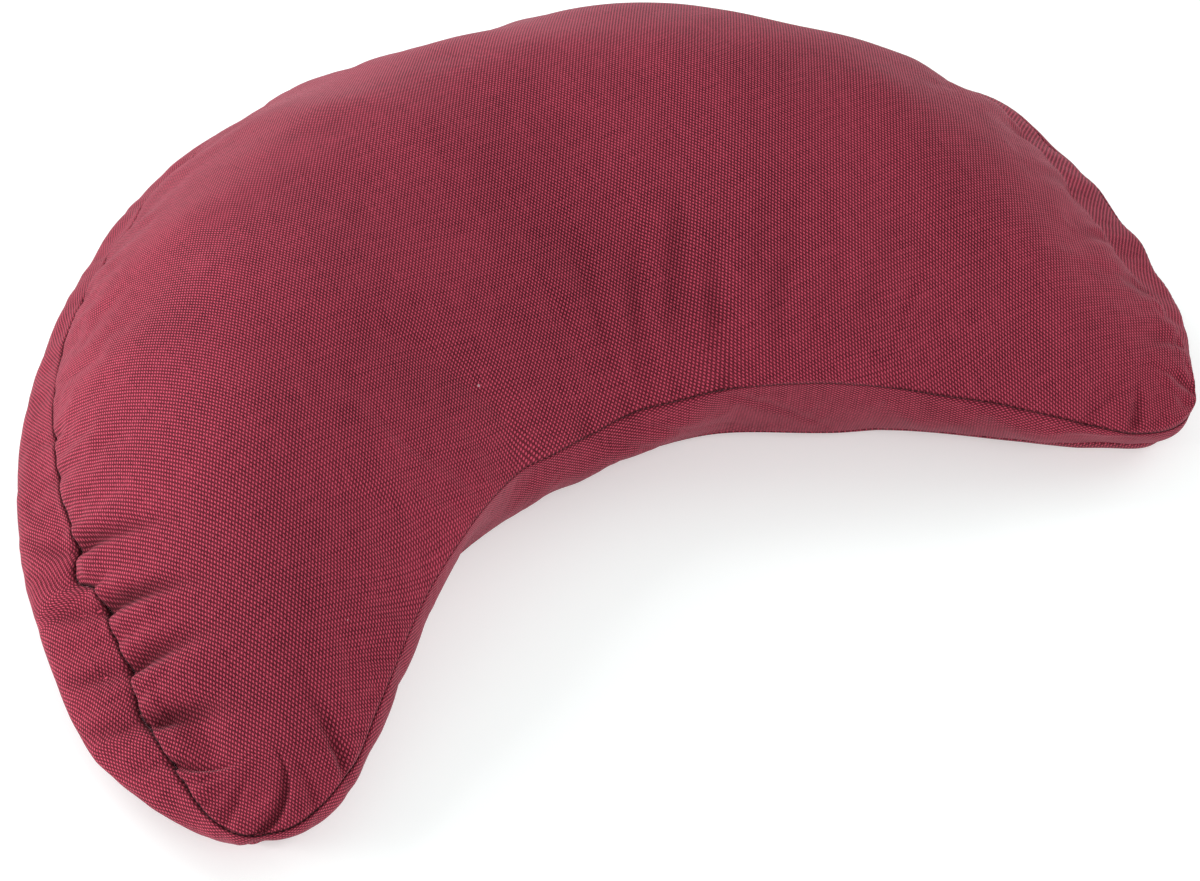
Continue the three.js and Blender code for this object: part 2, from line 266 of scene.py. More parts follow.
# Folds that the seam draws into the cloth. Columns: station, depth at the seam, width along the
# seam, reach over the panel, lean along the seam for each millimetre inwards, start inwards of
# the seam, reach down the band, and lean down the band.
FOLDS = (
    EdgeTable(Edge.OUTER, (
        (-0.9995, 4.4, 3.6, 28, -1.2, 0, 8, 0.0), (-0.985, 1.6, 2.6, 16, 0.1, 0, 8, 0.0),
        (-0.955, 1.2, 2.4, 12, -0.3, 0, 8, 0.4), (-0.920, 1.6, 2.2, 14, -0.8, 0, 8, 0.8),
        (-0.897, 4.0, 2.8, 16, -0.8, 0, 8, 0.8), (-0.848, 6.5, 3.8, 20, -0.35, 0, 9, 1.0),
        (-0.820, 2.2, 2.4, 12, -0.2, 0, 8, 1.0), (-0.788, 6.0, 3.6, 22, -0.2, 0, 9, 1.0),
        (-0.757, 2.4, 2.4, 14, -0.3, 0, 8, 1.0), (-0.725, 7.0, 3.8, 24, -0.38, 0, 9, 1.2),
        (-0.700, 3.4, 2.6, 8, -0.4, 0, 11, 1.8), (-0.663, 5.2, 3.6, 24, -0.35, 0, 10, 1.6),
        (-0.640, 1.7, 2.4, 6, -0.2, 0, 14, 2.2), (-0.580, 1.3, 2.6, 6, 0.0, 0, 12, 1.2),
        (-0.533, 1.9, 2.6, 6, -0.2, 0, 12, 1.1), (-0.475, 1.0, 3.2, 6, 0.0, 0, 12, 1.0),
        (-0.420, 0.9, 3.2, 6, 0.0, 0, 12, 0.8), (-0.360, 1.3, 3.6, 6, 0.0, 0, 14, 0.6),
        (-0.300, 1.6, 3.6, 8, 0.2, 0, 14, 0.3), (-0.240, 1.6, 3.6, 8, 0.1, 0, 14, 0.0),
        (-0.190, 1.4, 4.0, 10, 0.0, 0, 14, 0.0), (-0.120, 1.2, 5.0, 14, 0.0, 0, 14, 0.0),
        (-0.040, 1.0, 6.0, 16, 0.0, 0, 14, 0.0), (0.120, 1.0, 6.0, 16, 0.0, 0, 14, 0.0),
        (0.550, 1.3, 5.0, 18, -0.2, 0, 14, 0.0), (0.660, 1.4, 5.0, 20, -0.3, 0, 14, 0.0),
        (0.730, 1.9, 5.0, 22, -0.3, 0, 16, 0.0), (0.800, 1.9, 5.0, 22, -0.4, 0, 16, 0.0),
        (0.870, 2.0, 5.0, 22, -0.5, 0, 14, 0.0), (0.940, 1.9, 3.6, 18, -0.4, 0, 12, 0.0),
        (0.990, 2.0, 3.2, 16, -0.3, 0, 10, 0.0),
    )),
    EdgeTable(Edge.INNER, (
        (-0.950, 3.4, 3.0, 26, 1.2, 0, 8, 0.0), (-0.985, 1.7, 2.6, 14, 0.6, 0, 8, 0.0),
        (-0.080, 1.7, 3.4, 6, 0.0, 0, 30, 1.4), (0.040, 1.7, 3.4, 6, 0.0, 0, 30, 1.4),
        (0.330, 1.7, 3.4, 6, 0.0, 0, 34, 1.2), (0.010, 1.5, 4.2, 20, 0.1, 32, 6, 0.0),
        (0.055, 1.3, 2.6, 14, 0.3, 38, 6, 0.0), (0.090, 1.6, 3.8, 22, 0.1, 28, 6, 0.0),
        (0.135, 1.4, 2.8, 15, 0.2, 36, 6, 0.0), (0.175, 1.9, 3.6, 20, 0.1, 30, 6, 0.0),
        (0.225, 1.4, 2.6, 12, 0.0, 40, 6, 0.0), (0.265, 1.9, 3.8, 22, 0.1, 26, 6, 0.0),
        (0.315, 1.5, 2.8, 16, -0.1, 28, 6, 0.0), (0.360, 1.9, 3.4, 18, 0.1, 30, 6, 0.0),
        (0.410, 1.6, 2.8, 14, 0.1, 24, 6, 0.0), (0.455, 2.1, 3.6, 20, 0.0, 22, 6, 0.0),
        (0.515, 1.6, 2.8, 14, 0.1, 24, 6, 0.0), (0.555, 1.5, 3.2, 14, 0.0, 22, 6, 0.0),
        (0.600, 1.4, 5.0, 20, 0.0, 22, 6, 0.0), (0.968, 2.9, 3.5, 14, 0.4, 0, 10, 0.0),
        (0.930, 1.4, 5.0, 20, 0.3, 0, 10, 0.0),
    )),
)

# Where the sewn seam runs. Columns: station, and distance inwards of the plain seam line.
SEAMS = (
    EdgeTable(Edge.OUTER, (
        (-0.996, 0.4), (-0.962, 0.5), (-0.929, 1.7), (-0.877, 1.2), (-0.842, -0.5), (-0.821, 0.0),
        (-0.788, 1.2), (-0.757, 1.1), (-0.738, 1.8), (-0.704, 2.4), (-0.692, -1.4), (-0.680, -0.8),
        (-0.661, 2.0), (-0.637, 2.9), (-0.612, 2.0), (-0.587, 1.7), (-0.537, 1.8), (-0.483, 0.8),
        (-0.458, 1.2), (-0.395, -1.0), (-0.353, 0.5), (-0.329, 2.5), (-0.300, 5.0), (-0.256, 7.0),
        (-0.200, 6.0), (-0.143, 4.0), (-0.060, 1.0), (0.100, 0.0), (0.540, -1.0), (0.620, -6.0),
        (0.700, -10.5), (0.830, -11.0), (0.920, -9.0), (0.960, -6.0), (0.990, -4.0), (0.999, -3.4),
    )),
    EdgeTable(Edge.INNER, (
        (0.970, -1.4), (0.943, 0.6), (0.907, 2.0), (0.852, 2.2), (0.800, 1.0), (0.725, 0.3),
        (0.625, -1.6), (0.526, -1.7), (0.441, -0.4), (0.238, 1.3), (0.074, 1.6), (-0.036, 0.1),
        (-0.175, 0.4), (-0.500, 0.0), (-0.900, 0.0), (-0.930, -2.0), (-0.960, -0.5), (-0.990, 0.5),
    )),
)

# Broad places where the filling has sunk or pushed out. Columns: station, distance inwards of
# the seam, depth (below 0 where it pushes out), spread along the seam and across the cloth.
HOLLOWS = (
    EdgeTable(Edge.OUTER, (
        (-1.000, -14, 5.0, 16, 8), (-0.910, -12, -0.8, 14, 8), (-0.885, 14, 3.2, 13, 6),
        (-0.740, -10, 1.2, 26, 14), (-0.550, -8, 4.2, 50, 16), (-0.400, -6, 4.4, 45, 16),
        (-0.280, -4, 2.6, 30, 16), (-0.205, 2, 2.2, 16, 12), (-0.130, 5, 0.4, 25, 15),
        (-0.070, 12, -2.0, 16, 16), (0.000, 20, 2.0, 22, 20), (0.080, 28, 6.4, 30, 26),
        (0.230, 25, 3.6, 30, 24), (0.370, 25, 6.4, 34, 24), (0.470, 12, 3.8, 24, 18),
        (0.550, 2, 1.8, 16, 14), (0.610, -6, -2.4, 16, 14), (0.760, -11, 3.0, 12, 12),
        (0.830, -10, 5.4, 14, 14), (0.900, -8, 2.0, 14, 12), (0.980, -4, 3.0, 20, 10),
    )),
    EdgeTable(Edge.INNER, (
        (0.955, -12, 4.2, 18, 10), (1.000, -8, -1.2, 8, 10), (0.900, -16, 2.4, 26, 12),
        (0.420, -32, 1.4, 24, 18), (0.220, -32, 1.6, 18, 18), (-0.180, -32, 2.0, 14, 18),
        (-0.070, -32, -1.8, 12, 18), (-0.290, -30, -3.0, 20, 20), (-0.520, -34, 3.4, 22, 20),
        (-0.800, -11, -2.2, 26, 16), (-0.960, -8, -0.6, 12, 10),
    )),
)

# How tightly the top seam is drawn in, from 0 to 1, which also sets how dark its painted shade
# is: stations, and the hold at each.
OUTER_HOLD = ((-1.0, -0.15, 0.6, 1.0), (1.0, 1.0, 0.8, 1.0))
INNER_HOLD = ((-1.0, -0.93, -0.85, -0.3, 0.2, 0.9, 1.0), (1, 0.9, 0.25, 0.25, 0.45, 0.5, 1))


@dataclass(frozen=True)
class SeamRoll:
    """How the cloth turns in at a seam: a quarter circle of this radius, pulled by stitches."""

    radius: float = 1.6
    stitch_pitch: float = 2.7
    stitch_pull: float = 0.30
    pull_reach: float = 1.8

    def turn(self, away: Array) -> Array:
        """How far the cloth turns in at a distance from the seam: r - sqrt(r² - (r - away)²)."""
        near = self.radius - np.minimum(away, self.radius)
        return self.radius - np.sqrt(self.radius**2 - near**2)

    def pull(self, away: Array, run: Array) -> Array:
        """What the stitches pull in: one wave of the run a stitch, times exp(-(away / reach)²)."""
        wave = 0.5 + 0.5 * np.cos(FULL_TURN * run / self.stitch_pitch)
        return self.stitch_pull * wave * np.exp(-((away / self.pull_reach) ** 2))


class Relief:
    """Everything that stands off the plain surface: folds, fine gathers, waves and the seam.

    The spans are pairs: the least value, and how much more an even draw can add to it.
    """

    AT_SEAM, FULL_AT = 0.45, 3.0
    RIDGE_SHARE, RIDGE_SPREAD = 0.3, 3.2
    BAND_SHARE = 0.45
    RISE_SHARE, START_FADE = 1.6, 12.0
    GATHERS, WAVES = 130, 26
    GATHER_DEPTH, GATHER_WIDTH = (0.15, 0.6), (1.8, 2.0)
    GATHER_REACH, GATHER_DOWN, GATHER_LEAN = (5, 9), (5, 8), 0.8
    TIP_GAIN, TIP_FROM, TIP_OVER = (0.5, 0.9), 0.3, 0.5
    OUTER_GAIN = (0.35, 0.65)
    WAVE_LENGTH, WAVE_HEIGHT = (26, 70), 0.0022

    def __init__(self, loop: SeamLoop, seed: int = 11) -> None:
        """Places the folds on the loop and draws the fine gathers and waves.

        Args:
            loop: The seam loop.
            seed: Fixes every random draw.
        """
        self.loop = loop
        self.random = np.random.default_rng(seed)
        rows = [
            np.column_stack([table.on(loop), np.full(len(table.rows), float(table.edge.value))])
            for table in FOLDS
        ]
        self.rows = np.concatenate([*rows, self.fine_gathers()])
        self.waves = self.soft_waves()
        self.roll = SeamRoll()

    def drawn(self, span: tuple[float, float], count: int) -> Array:
        """Even draws over a span."""
        return span[0] + span[1] * self.random.random(count)

    def fine_gathers(self) -> Array:
        """Small gathers all round, deeper and closer together towards the tips.

        Returns:
            Rows with the same columns as the placed folds.
        """
        loop, count = self.loop, self.GATHERS
        run = self.random.random(count) * loop.total
        station = np.interp(run, loop.run, loop.station)
        outer = np.interp(run, loop.run, loop.on_outer.astype(float))
        tip = smooth_step((station - self.TIP_FROM) / self.TIP_OVER)
        strong = self.TIP_GAIN[0] + self.TIP_GAIN[1] * tip
        strong = strong * (self.OUTER_GAIN[0] + self.OUTER_GAIN[1] * outer)
        depth = self.drawn(self.GATHER_DEPTH, count) * strong
        width = self.drawn(self.GATHER_WIDTH, count)
        reach = self.drawn(self.GATHER_REACH, count)
        lean = (self.random.random(count) - 0.5) * self.GATHER_LEAN
        down = self.drawn(self.GATHER_DOWN, count)
        flat = np.zeros(count)
        return np.column_stack([run, depth, width, reach, lean, flat, down, flat, flat + 1])

    def soft_waves(self) -> Array:
        """Long soft swells of the filling under the cloth, as plane waves in plan.

        Returns:
            Rows of wave numbers in x and y, phase and height.
        """
        angle = self.random.random(self.WAVES) * 2 * math.pi
        length = self.drawn(self.WAVE_LENGTH, self.WAVES)
        phase = self.random.random(self.WAVES) * 2 * math.pi
        turn = FULL_TURN / length
        height = length * self.WAVE_HEIGHT
        return np.column_stack([turn * np.cos(angle), turn * np.sin(angle), phase, height])

    def swell(self, points: Array) -> Array:
        """The sum of the soft waves: height * sin(kx + ky + phase).

        Args:
            points: Points of the plan.

        Returns:
            The swell at each point, in millimetres.
        """
        total = np.zeros(points.shape[:-1])
        for kx, ky, phase, height in self.waves:
            total += height * np.sin(kx * points[..., 0] + ky * points[..., 1] + phase)
        return total

    def folds(self, inwards: Array) -> Array:
        """The depth of all folds: a narrow valley less the broad ridges that stand beside it.

        A fold is depth * (exp(-x²) - ridge share * exp(-(x / ridge spread)²)) * fade, with x the
        run from its middle over its width. The fade is exp(-(distance past the start / reach)²),
        on the panel and on the band, and the seam holds the folds down beside it.

        Args:
            inwards: Distance inwards of the seam for each point of the loop, below 0 on the band.

        Returns:
            Depth in millimetres, for each point.
        """
        run = self.loop.run[:, None]
        onset = blend(self.AT_SEAM, 1.0, smooth_step(np.abs(inwards) / self.FULL_AT))
        total = np.zeros(inwards.shape)
        on_panel = inwards >= 0
        over = np.maximum(inwards, 0)
        under = np.maximum(-inwards, 0)
        for start_run, depth, width, reach, lean, start, down, band_lean, sense in self.rows:
            centre = start_run + sense * np.where(on_panel, lean * over, band_lean * under)
            x = self.loop.apart(run - centre) / width
            past = np.maximum(over - start, 0) / reach
            before = np.maximum(start - over, 0) / max(start / self.RISE_SHARE, 1e-6)
            panel_fade = np.exp(-(past**2) - before**2)
            band_fade = np.exp(-((under / down) ** 2)) * math.exp(-((start / self.START_FADE) ** 2))
            fade = np.where(on_panel, panel_fade, band_fade * self.BAND_SHARE)
            ridge = self.RIDGE_SHARE * np.exp(-((x / self.RIDGE_SPREAD) ** 2))
            total += depth * (np.exp(-x * x) - ridge) * fade * onset
        return total


@dataclass(frozen=True)
class Wrinkles:
    """Heights over the plain surface on a grid: places round the seam by rows across it.

    The rows go from the spine to the top seam, then down the band to the bottom seam.
    """

    run: Array
    total: float
    heights: Array
    crown_rows: int

    def at(self, run: Array, share: Array, down: Array) -> Array:
        """The height between the grid's points, mixed from the four round each place.

        Args:
            run: The run of each loop point.
            share: How far from the seam to the spine, 0 on the band.
            down: How far down the band, 0 on the panel.

        Returns:
            Heights in millimetres.
        """
        places, rows = self.heights.shape
        lap = np.append(self.run, self.total)
        place = np.interp(run, lap, np.arange(places + 1))[:, None]
        row = (1 - share) * self.crown_rows + down * (rows - 1 - self.crown_rows)
        i = np.minimum(place.astype(int), places - 1)
        j = np.clip(row.astype(int), 0, rows - 2)
        f, g = place - i, row - j
        after = (i + 1) % places
        first = blend(self.heights[i, j], self.heights[i, j + 1], g)
        second = blend(self.heights[after, j], self.heights[after, j + 1], g)
        return blend(first, second, f)


class CushionSurface:
    """The cushion's whole outer surface, as a function of the run and the way across."""

    CLOTH, GAP = 1.6, 0.3
    BOTTOM_SEAM_Z, BOTTOM_SEAM_SHARE = 6.2, 0.4
    RECESS, RECESS_FULL_Z, RECESS_MOST = 12.0, 35.0, 1.2
    ROLL, ROLL_SHARE = 12.0, 0.35
    COMMON_OUT, COMMON_UP = 0.6, 0.8
    OWN_FROM, LEVEL_BY, SWELL_FROM = 9, 2.5, 20
    STILL_FROM, HOLLOW_HALF, BAND_HOLD = 0.4, 2, 3
    # GROOVE, GROOVE_MEAN, GROOVE_WAVE: painted shade along the seam; FOLD_SHADE: painted shade in
    # folds.
    SEAM_SOFT, GROOVE = 2.0, 0.65
    GROOVE_MEAN, GROOVE_WAVE = 0.85, 0.15
    FOLD_SHADE = 0.16
    LOOSE_ROLL = 0.5
    PANEL_WRINKLES, BAND_WRINKLES = 0.8, 0.3

    def __init__(self, plan: CrescentPlan, steps: int, wrinkles: Wrinkles | None = None) -> None:
        """Works out the loop, the band's heights and the relief.

        Args:
            plan: The crescent's sizes.
            steps: Steps from tip to tip on each edge.
            wrinkles: What the cloth simulation found, if it has run.
        """
        self.wrinkles = wrinkles
        self.loop = loop = SeamLoop(plan, steps)
        self.relief = Relief(loop)
        self.sunk = np.concatenate([table.on(loop) for table in HOLLOWS])
        bottom_z = np.minimum(self.BOTTOM_SEAM_Z, loop.seam_z * self.BOTTOM_SEAM_SHARE)
        self.fall = loop.seam_z - bottom_z
        self.recess = self.RECESS * np.minimum(loop.seam_z / self.RECESS_FULL_Z, self.RECESS_MOST)
        self.seam_at = self.seam_shift()
        outer, inner = (np.interp(loop.station, *hold) for hold in (OUTER_HOLD, INNER_HOLD))
        self.seam_hold = np.where(loop.on_outer, outer, inner)

    def hollows(self, inwards: Array) -> Array:
        """The depth of the broad hollows: the sum of depth * exp(-(run/along)² - (in/across)²).

        Args:
            inwards: Distance inwards of the plain seam line, below 0 down the band.

        Returns:
            Depth in millimetres, for each point.
        """
        total = np.zeros(inwards.shape)
        for centre, at, depth, along, across in self.sunk:
            far = self.loop.apart(self.loop.run - centre)[:, None] / along
            total += depth * np.exp(-(far**2) - ((inwards - at) / across) ** 2)
        return total

    def seam_shift(self) -> Array:
        """Where the top seam runs across the surface: straight between the rows, then softened.

        Each point takes the mean of its neighbours, weighted by exp(-(apart / soft)²).

        Returns:
            Millimetres inwards of the plain seam line, for each point of the loop.
        """
        rows = np.concatenate([line.on(self.loop) for line in SEAMS])
        rows = rows[np.argsort(rows[:, 0])]
        sharp = np.interp(self.loop.run, rows[:, 0], rows[:, 1], period=self.loop.total)
        weight = self.loop.nearness(self.SEAM_SOFT)
        return weight @ sharp / weight.sum(axis=1)

    def away(self, inwards: Array) -> Array:
        """Distance from the seam over the cloth: on the panel the plan's times its steepness.

        The steepness at the seam is sqrt(1 + (2 rise / width)²).

        Args:
            inwards: Distance inwards of the plain seam line.

        Returns:
            The distances, in millimetres.
        """
        loop = self.loop
        steep = np.sqrt(1 + (2 * (loop.crown_z - loop.seam_z) / loop.width) ** 2)[:, None]
        beside = inwards - self.seam_at[:, None]
        return np.where(beside > 0, beside * steep, -beside)

    def painted_shade(self, inwards: Array) -> Array:
        """Painted shade by how deep along the seam or in a fold a point lies, from 0 to 1.

        The seam's part is strength * exp(-(away / width)²); a fold adds a share of its depth.

        Args:
            inwards: Distance inwards of the plain seam line.

        Returns:
            The painted shade for each loop point and column.
        """
        turns = FULL_TURN * self.loop.run / self.relief.roll.stitch_pitch
        wave = self.GROOVE_MEAN + self.GROOVE_WAVE * np.cos(turns)
        near = np.exp(-((self.away(inwards) / self.GROOVE) ** 2))
        painted_dark = self.seam_hold[:, None] * wave[:, None] * near
        return np.clip(painted_dark + self.FOLD_SHADE * np.maximum(self.relief.folds(inwards), 0), 0, 1)

    def base(self, inwards: Array, deep: float = 0.0) -> Array:
        """Points of the plain surface, without relief.

        Inwards of the seam the crown is a parabola up to the spine: seam + rise * (1 - (1-s)²),
        and slope * width * s * (1-s) lets it leave the spine with the spine's own slope.
        On the band the height falls evenly and the cloth stands out by bulge * sin(pi s) less
        recess * s. Below it, deep millimetres along the normal of the cross-section.

        Args:
            inwards: Distance inwards of the plain seam line, below 0 down the band.
            deep: How far under the cloth's face, on the band.

        Returns:
            Points (x, y, z) for each loop point and column.
        """
        loop, fall, recess = self.loop, self.fall[:, None], self.recess[:, None]
        seam_z, width, bulge = loop.seam_z[:, None], loop.width[:, None], loop.bulge[:, None]
        share = np.clip(inwards / width, 0, 1)
        crown = blend(loop.plan[:, None, :], loop.spine[:, None, :], share[..., None])
        rise = (loop.crown_z - loop.seam_z)[:, None]
        crown_z = seam_z + rise * (1 - (1 - share) ** 2)
        crown_z = crown_z + loop.spine_slope[:, None] * width * share * (1 - share)
        down = np.clip(-inwards / fall, 0, 1)
        out = bulge * np.sin(math.pi * down) - recess * down
        band_z = seam_z - fall * down
        if deep:
            slope_out = math.pi * bulge * np.cos(math.pi * down) - recess
            length = np.hypot(slope_out, fall)
            out = out - fall / length * deep
            band_z = band_z - slope_out / length * deep
        sunk = self.hollows(inwards) * (1 - smooth_step(share * self.HOLLOW_HALF - 1))
        level = smooth_step(down * self.LEVEL_BY)
        out = out - sunk * blend(self.COMMON_OUT, 1.0, level)
        band_z = band_z - sunk * self.COMMON_UP * (1 - level)
        crown = crown - loop.normal[:, None, :] * (self.COMMON_OUT * sunk * (1 - share))[..., None]
        crown_z = crown_z - self.COMMON_UP * sunk
        band = loop.plan[:, None, :] + loop.normal[:, None, :] * out[..., None]
        on_band = (inwards < 0) | (deep > 0)
        xy = np.where(on_band[..., None], band, crown)
        return np.concatenate([xy, np.where(on_band, band_z, crown_z)[..., None]], -1)

    def dressed(self, inwards: Array) -> Array:
        """The surface with its relief, moved along the normal of the plain surface.

        Near the seam both panels move along one direction, out and up, so that they still
        meet; at the spine it is straight up.

        Args:
            inwards: Distance inwards of the plain seam line, below 0 down the band.

        Returns:
            Points (x, y, z) for each loop point and column.
        """
        loop, roll, fall = self.loop, self.relief.roll, self.fall[:, None]
        points = self.base(inwards)
        round_loop = np.roll(points, -1, 0) - np.roll(points, 1, 0)
        own = unit(np.cross(round_loop, np.gradient(points, axis=1)))
        upwards = np.full((loop.size, 1), self.COMMON_UP)
        shared = np.concatenate([self.COMMON_OUT * loop.normal, upwards], -1)
        away = self.away(inwards)
        mixed = blend(shared[:, None, :], own, smooth_step(away / self.OWN_FROM)[..., None])
        share = np.clip(inwards / loop.width[:, None], 0, 1)
        outwards = unit(blend(unit(mixed), UP, (share**3)[..., None]))
        still = 1 - smooth_step(share * (1 + self.STILL_FROM) - self.STILL_FROM)
        depth = self.relief.folds(inwards) * still
        band_hold = np.clip(1 + np.minimum(inwards, 0) / fall, 0, 1)
        depth = depth * smooth_step(band_hold * self.BAND_HOLD)
        top = roll.turn(away) + roll.pull(away, loop.run[:, None])
        hold = blend(self.LOOSE_ROLL, 1.0, self.seam_hold)[:, None]
        depth = depth + top * hold + roll.turn(np.maximum(fall + inwards, 0))
        lift = self.relief.swell(points) * smooth_step(inwards / self.SWELL_FROM)
        if self.wrinkles is not None:
            down = np.clip(-inwards / fall, 0, 1)
            part = np.where(inwards < 0, self.BAND_WRINKLES, self.PANEL_WRINKLES)
            lift = lift + self.wrinkles.at(loop.run, share, down) * still * part
        return points + outwards * (lift - depth)[..., None]

    def bottom_rows(self, shares: tuple[float, ...], lift: float) -> Array:
        """Rings of the underside as it rolls from the bottom seam to the ground.

        The height falls as edge * (1 - s)², while the ring moves towards the spine by roll * s.

        Args:
            shares: How far through the roll each ring lies.
            lift: How far above the cloth's lower face.

        Returns:
            Points for each loop point and share.
        """
        spine = self.loop.spine
        edge = self.base(-self.fall[:, None])[:, 0]
        width = np.linalg.norm(edge[:, :2] - spine, axis=1)[:, None]
        roll = np.minimum(self.ROLL, self.ROLL_SHARE * width)
        share = np.array(shares)[None, :]
        slope = 2 * edge[:, 2:3] * (1 - share) / roll
        length = np.hypot(1, slope)
        inwards = roll * share + slope / length * lift
        xy = blend(edge[:, None, :2], spine[:, None, :], (inwards / width)[..., None])
        z = edge[:, 2:3] * (1 - share) ** 2 + lift / length
        return np.concatenate([xy, z[..., None]], -1)


def mesh_piece(
    name: str, points: Array, corners: Array, cloth: Array | None = None
) -> bpy.types.Object:
    """A mesh object from arrays.

    Args:
        name: The piece's name.
        points: Points in metres.
        corners: The triangles' corners.
        cloth: Cloth coordinates in metres, one for each corner of each triangle.

    Returns:
        The new object, linked to the scene.
    """
    mesh = bpy.data.meshes.new(name)
    mesh.vertices.add(len(points))
    mesh.vertices.foreach_set("co", points.astype(np.float32).ravel())
    mesh.loops.add(corners.size)
    mesh.loops.foreach_set("vertex_index", corners.astype(np.int32).ravel())
    mesh.polygons.add(len(corners))
    mesh.polygons.foreach_set("loop_start", np.arange(0, corners.size, 3, dtype=np.int32))
    mesh.polygons.foreach_set("use_smooth", np.ones(len(corners), bool))
    if cloth is not None:
        layer = mesh.uv_layers.new(name=CLOTH_UV)
        layer.data.foreach_set("uv", cloth.astype(np.float32).ravel())
    mesh.update(calc_edges=True)
    mesh.validate()
    piece = bpy.data.objects.new(name, mesh)
    bpy.context.scene.collection.objects.link(piece)
    return piece


class RingSkin:
    """A closed skin made of rings of points, each ring joined to the one before it."""

    def __init__(self, loop: SeamLoop) -> None:
        """Starts an empty skin.

        Args:
            loop: The seam loop that its rings follow.
        """
        self.loop = loop
        self.points: list[Array] = []
        self.cloth: list[Array] = []
        self.painted_shade: list[Array] = []
        self.rings: list[Array] = []
        self.count = 0

    def add(self, points: Array, cloth: Array, painted_shade: Array, index: Array) -> None:
        """Adds one ring.

        Args:
            points: Points in millimetres.
            cloth: Cloth coordinates in millimetres, one for each point.
            painted_shade: Painted shade at each point, by how deep along a seam or in a fold it
                lies, 0 to 1.
            index: Which of the points each place of the ring uses.
        """
        self.rings.append(self.count + index)
        self.points.append(points)
        self.cloth.append(cloth)
        self.painted_shade.append(painted_shade)
        self.count += len(points)

    def add_cap(self, height: Array | float) -> None:
        """Adds the line over the spine's plan on which both sides of the skin meet.

        Args:
            height: Its height in millimetres, one for all or one for each point.
        """
        line = self.loop.spine_line
        points = np.column_stack([line, np.broadcast_to(height, len(line))])
        self.add(points, line, np.zeros(len(line)), self.loop.spine_row)

    def add_grid(self, grid: Array, cloth: Array, painted_shade: Array | None = None) -> None:
        """Adds every column of a grid as a ring.

        Args:
            grid: Points for each loop point and column.
            cloth: Cloth coordinates for each, or one column for all.
            painted_shade: The painted shade for each, or nothing for none.
        """
        cloth = np.broadcast_to(cloth, (*grid.shape[:2], 2))
        painted_dark = np.zeros(grid.shape[:2]) if painted_shade is None else painted_shade
        every = np.arange(len(grid))
        for column in range(grid.shape[1]):
            self.add(grid[:, column], cloth[:, column], painted_dark[:, column], every)

    def triangles(self, tube: bool) -> Array:
        """Two triangles for each four-sided patch between neighbouring rings.

        Args:
            tube: Whether the last ring also joins the first.

        Returns:
            Indices of the triangles' corners, without the collapsed ones.
        """
        upper = np.stack(self.rings if tube else self.rings[:-1])
        lower = np.stack(self.rings[1:] + self.rings[:1] if tube else self.rings[1:])
        next_upper, next_lower = np.roll(upper, -1, 1), np.roll(lower, -1, 1)
        first = np.stack([upper, next_upper, next_lower], -1).reshape(-1, 3)
        second = np.stack([upper, next_lower, lower], -1).reshape(-1, 3)
        corners = np.concatenate([first, second])
        same = corners == np.roll(corners, 1, axis=1)
        return corners[~same.any(axis=1)]

    def make(self, name: str, tube: bool = False) -> bpy.types.Object:
        """Puts the skin into a mesh object with smooth faces and cloth coordinates.

        Args:
            name: The piece's name.
            tube: Whether the last ring joins the first. The cloth then runs round the loop.

        Returns:
            The new object.
        """
        corners = self.triangles(tube)
        points = np.concatenate(self.points) * MM
        cloth = np.concatenate(self.cloth)[corners]
        if tube:
            total = self.loop.total
            late = cloth[..., 1].max(axis=1, keepdims=True) - cloth[..., 1] > total / 2
            cloth[..., 1] += late * total
        piece = mesh_piece(name, points, corners, cloth.reshape(-1, 2) * MM)
        # The painted shade goes into a point attribute that darkens the canvas colour.
        painted_dark = piece.data.attributes.new(SHADE_ATTRIBUTE, "FLOAT", "POINT")
        painted_dark.data.foreach_set("value", np.concatenate(self.painted_shade).astype(np.float32))
        return piece


class Socket(Enum):
    """Kinds of node group sockets that are used here."""

    VALUE = "NodeSocketFloat"
    VECTOR = "NodeSocketVector"


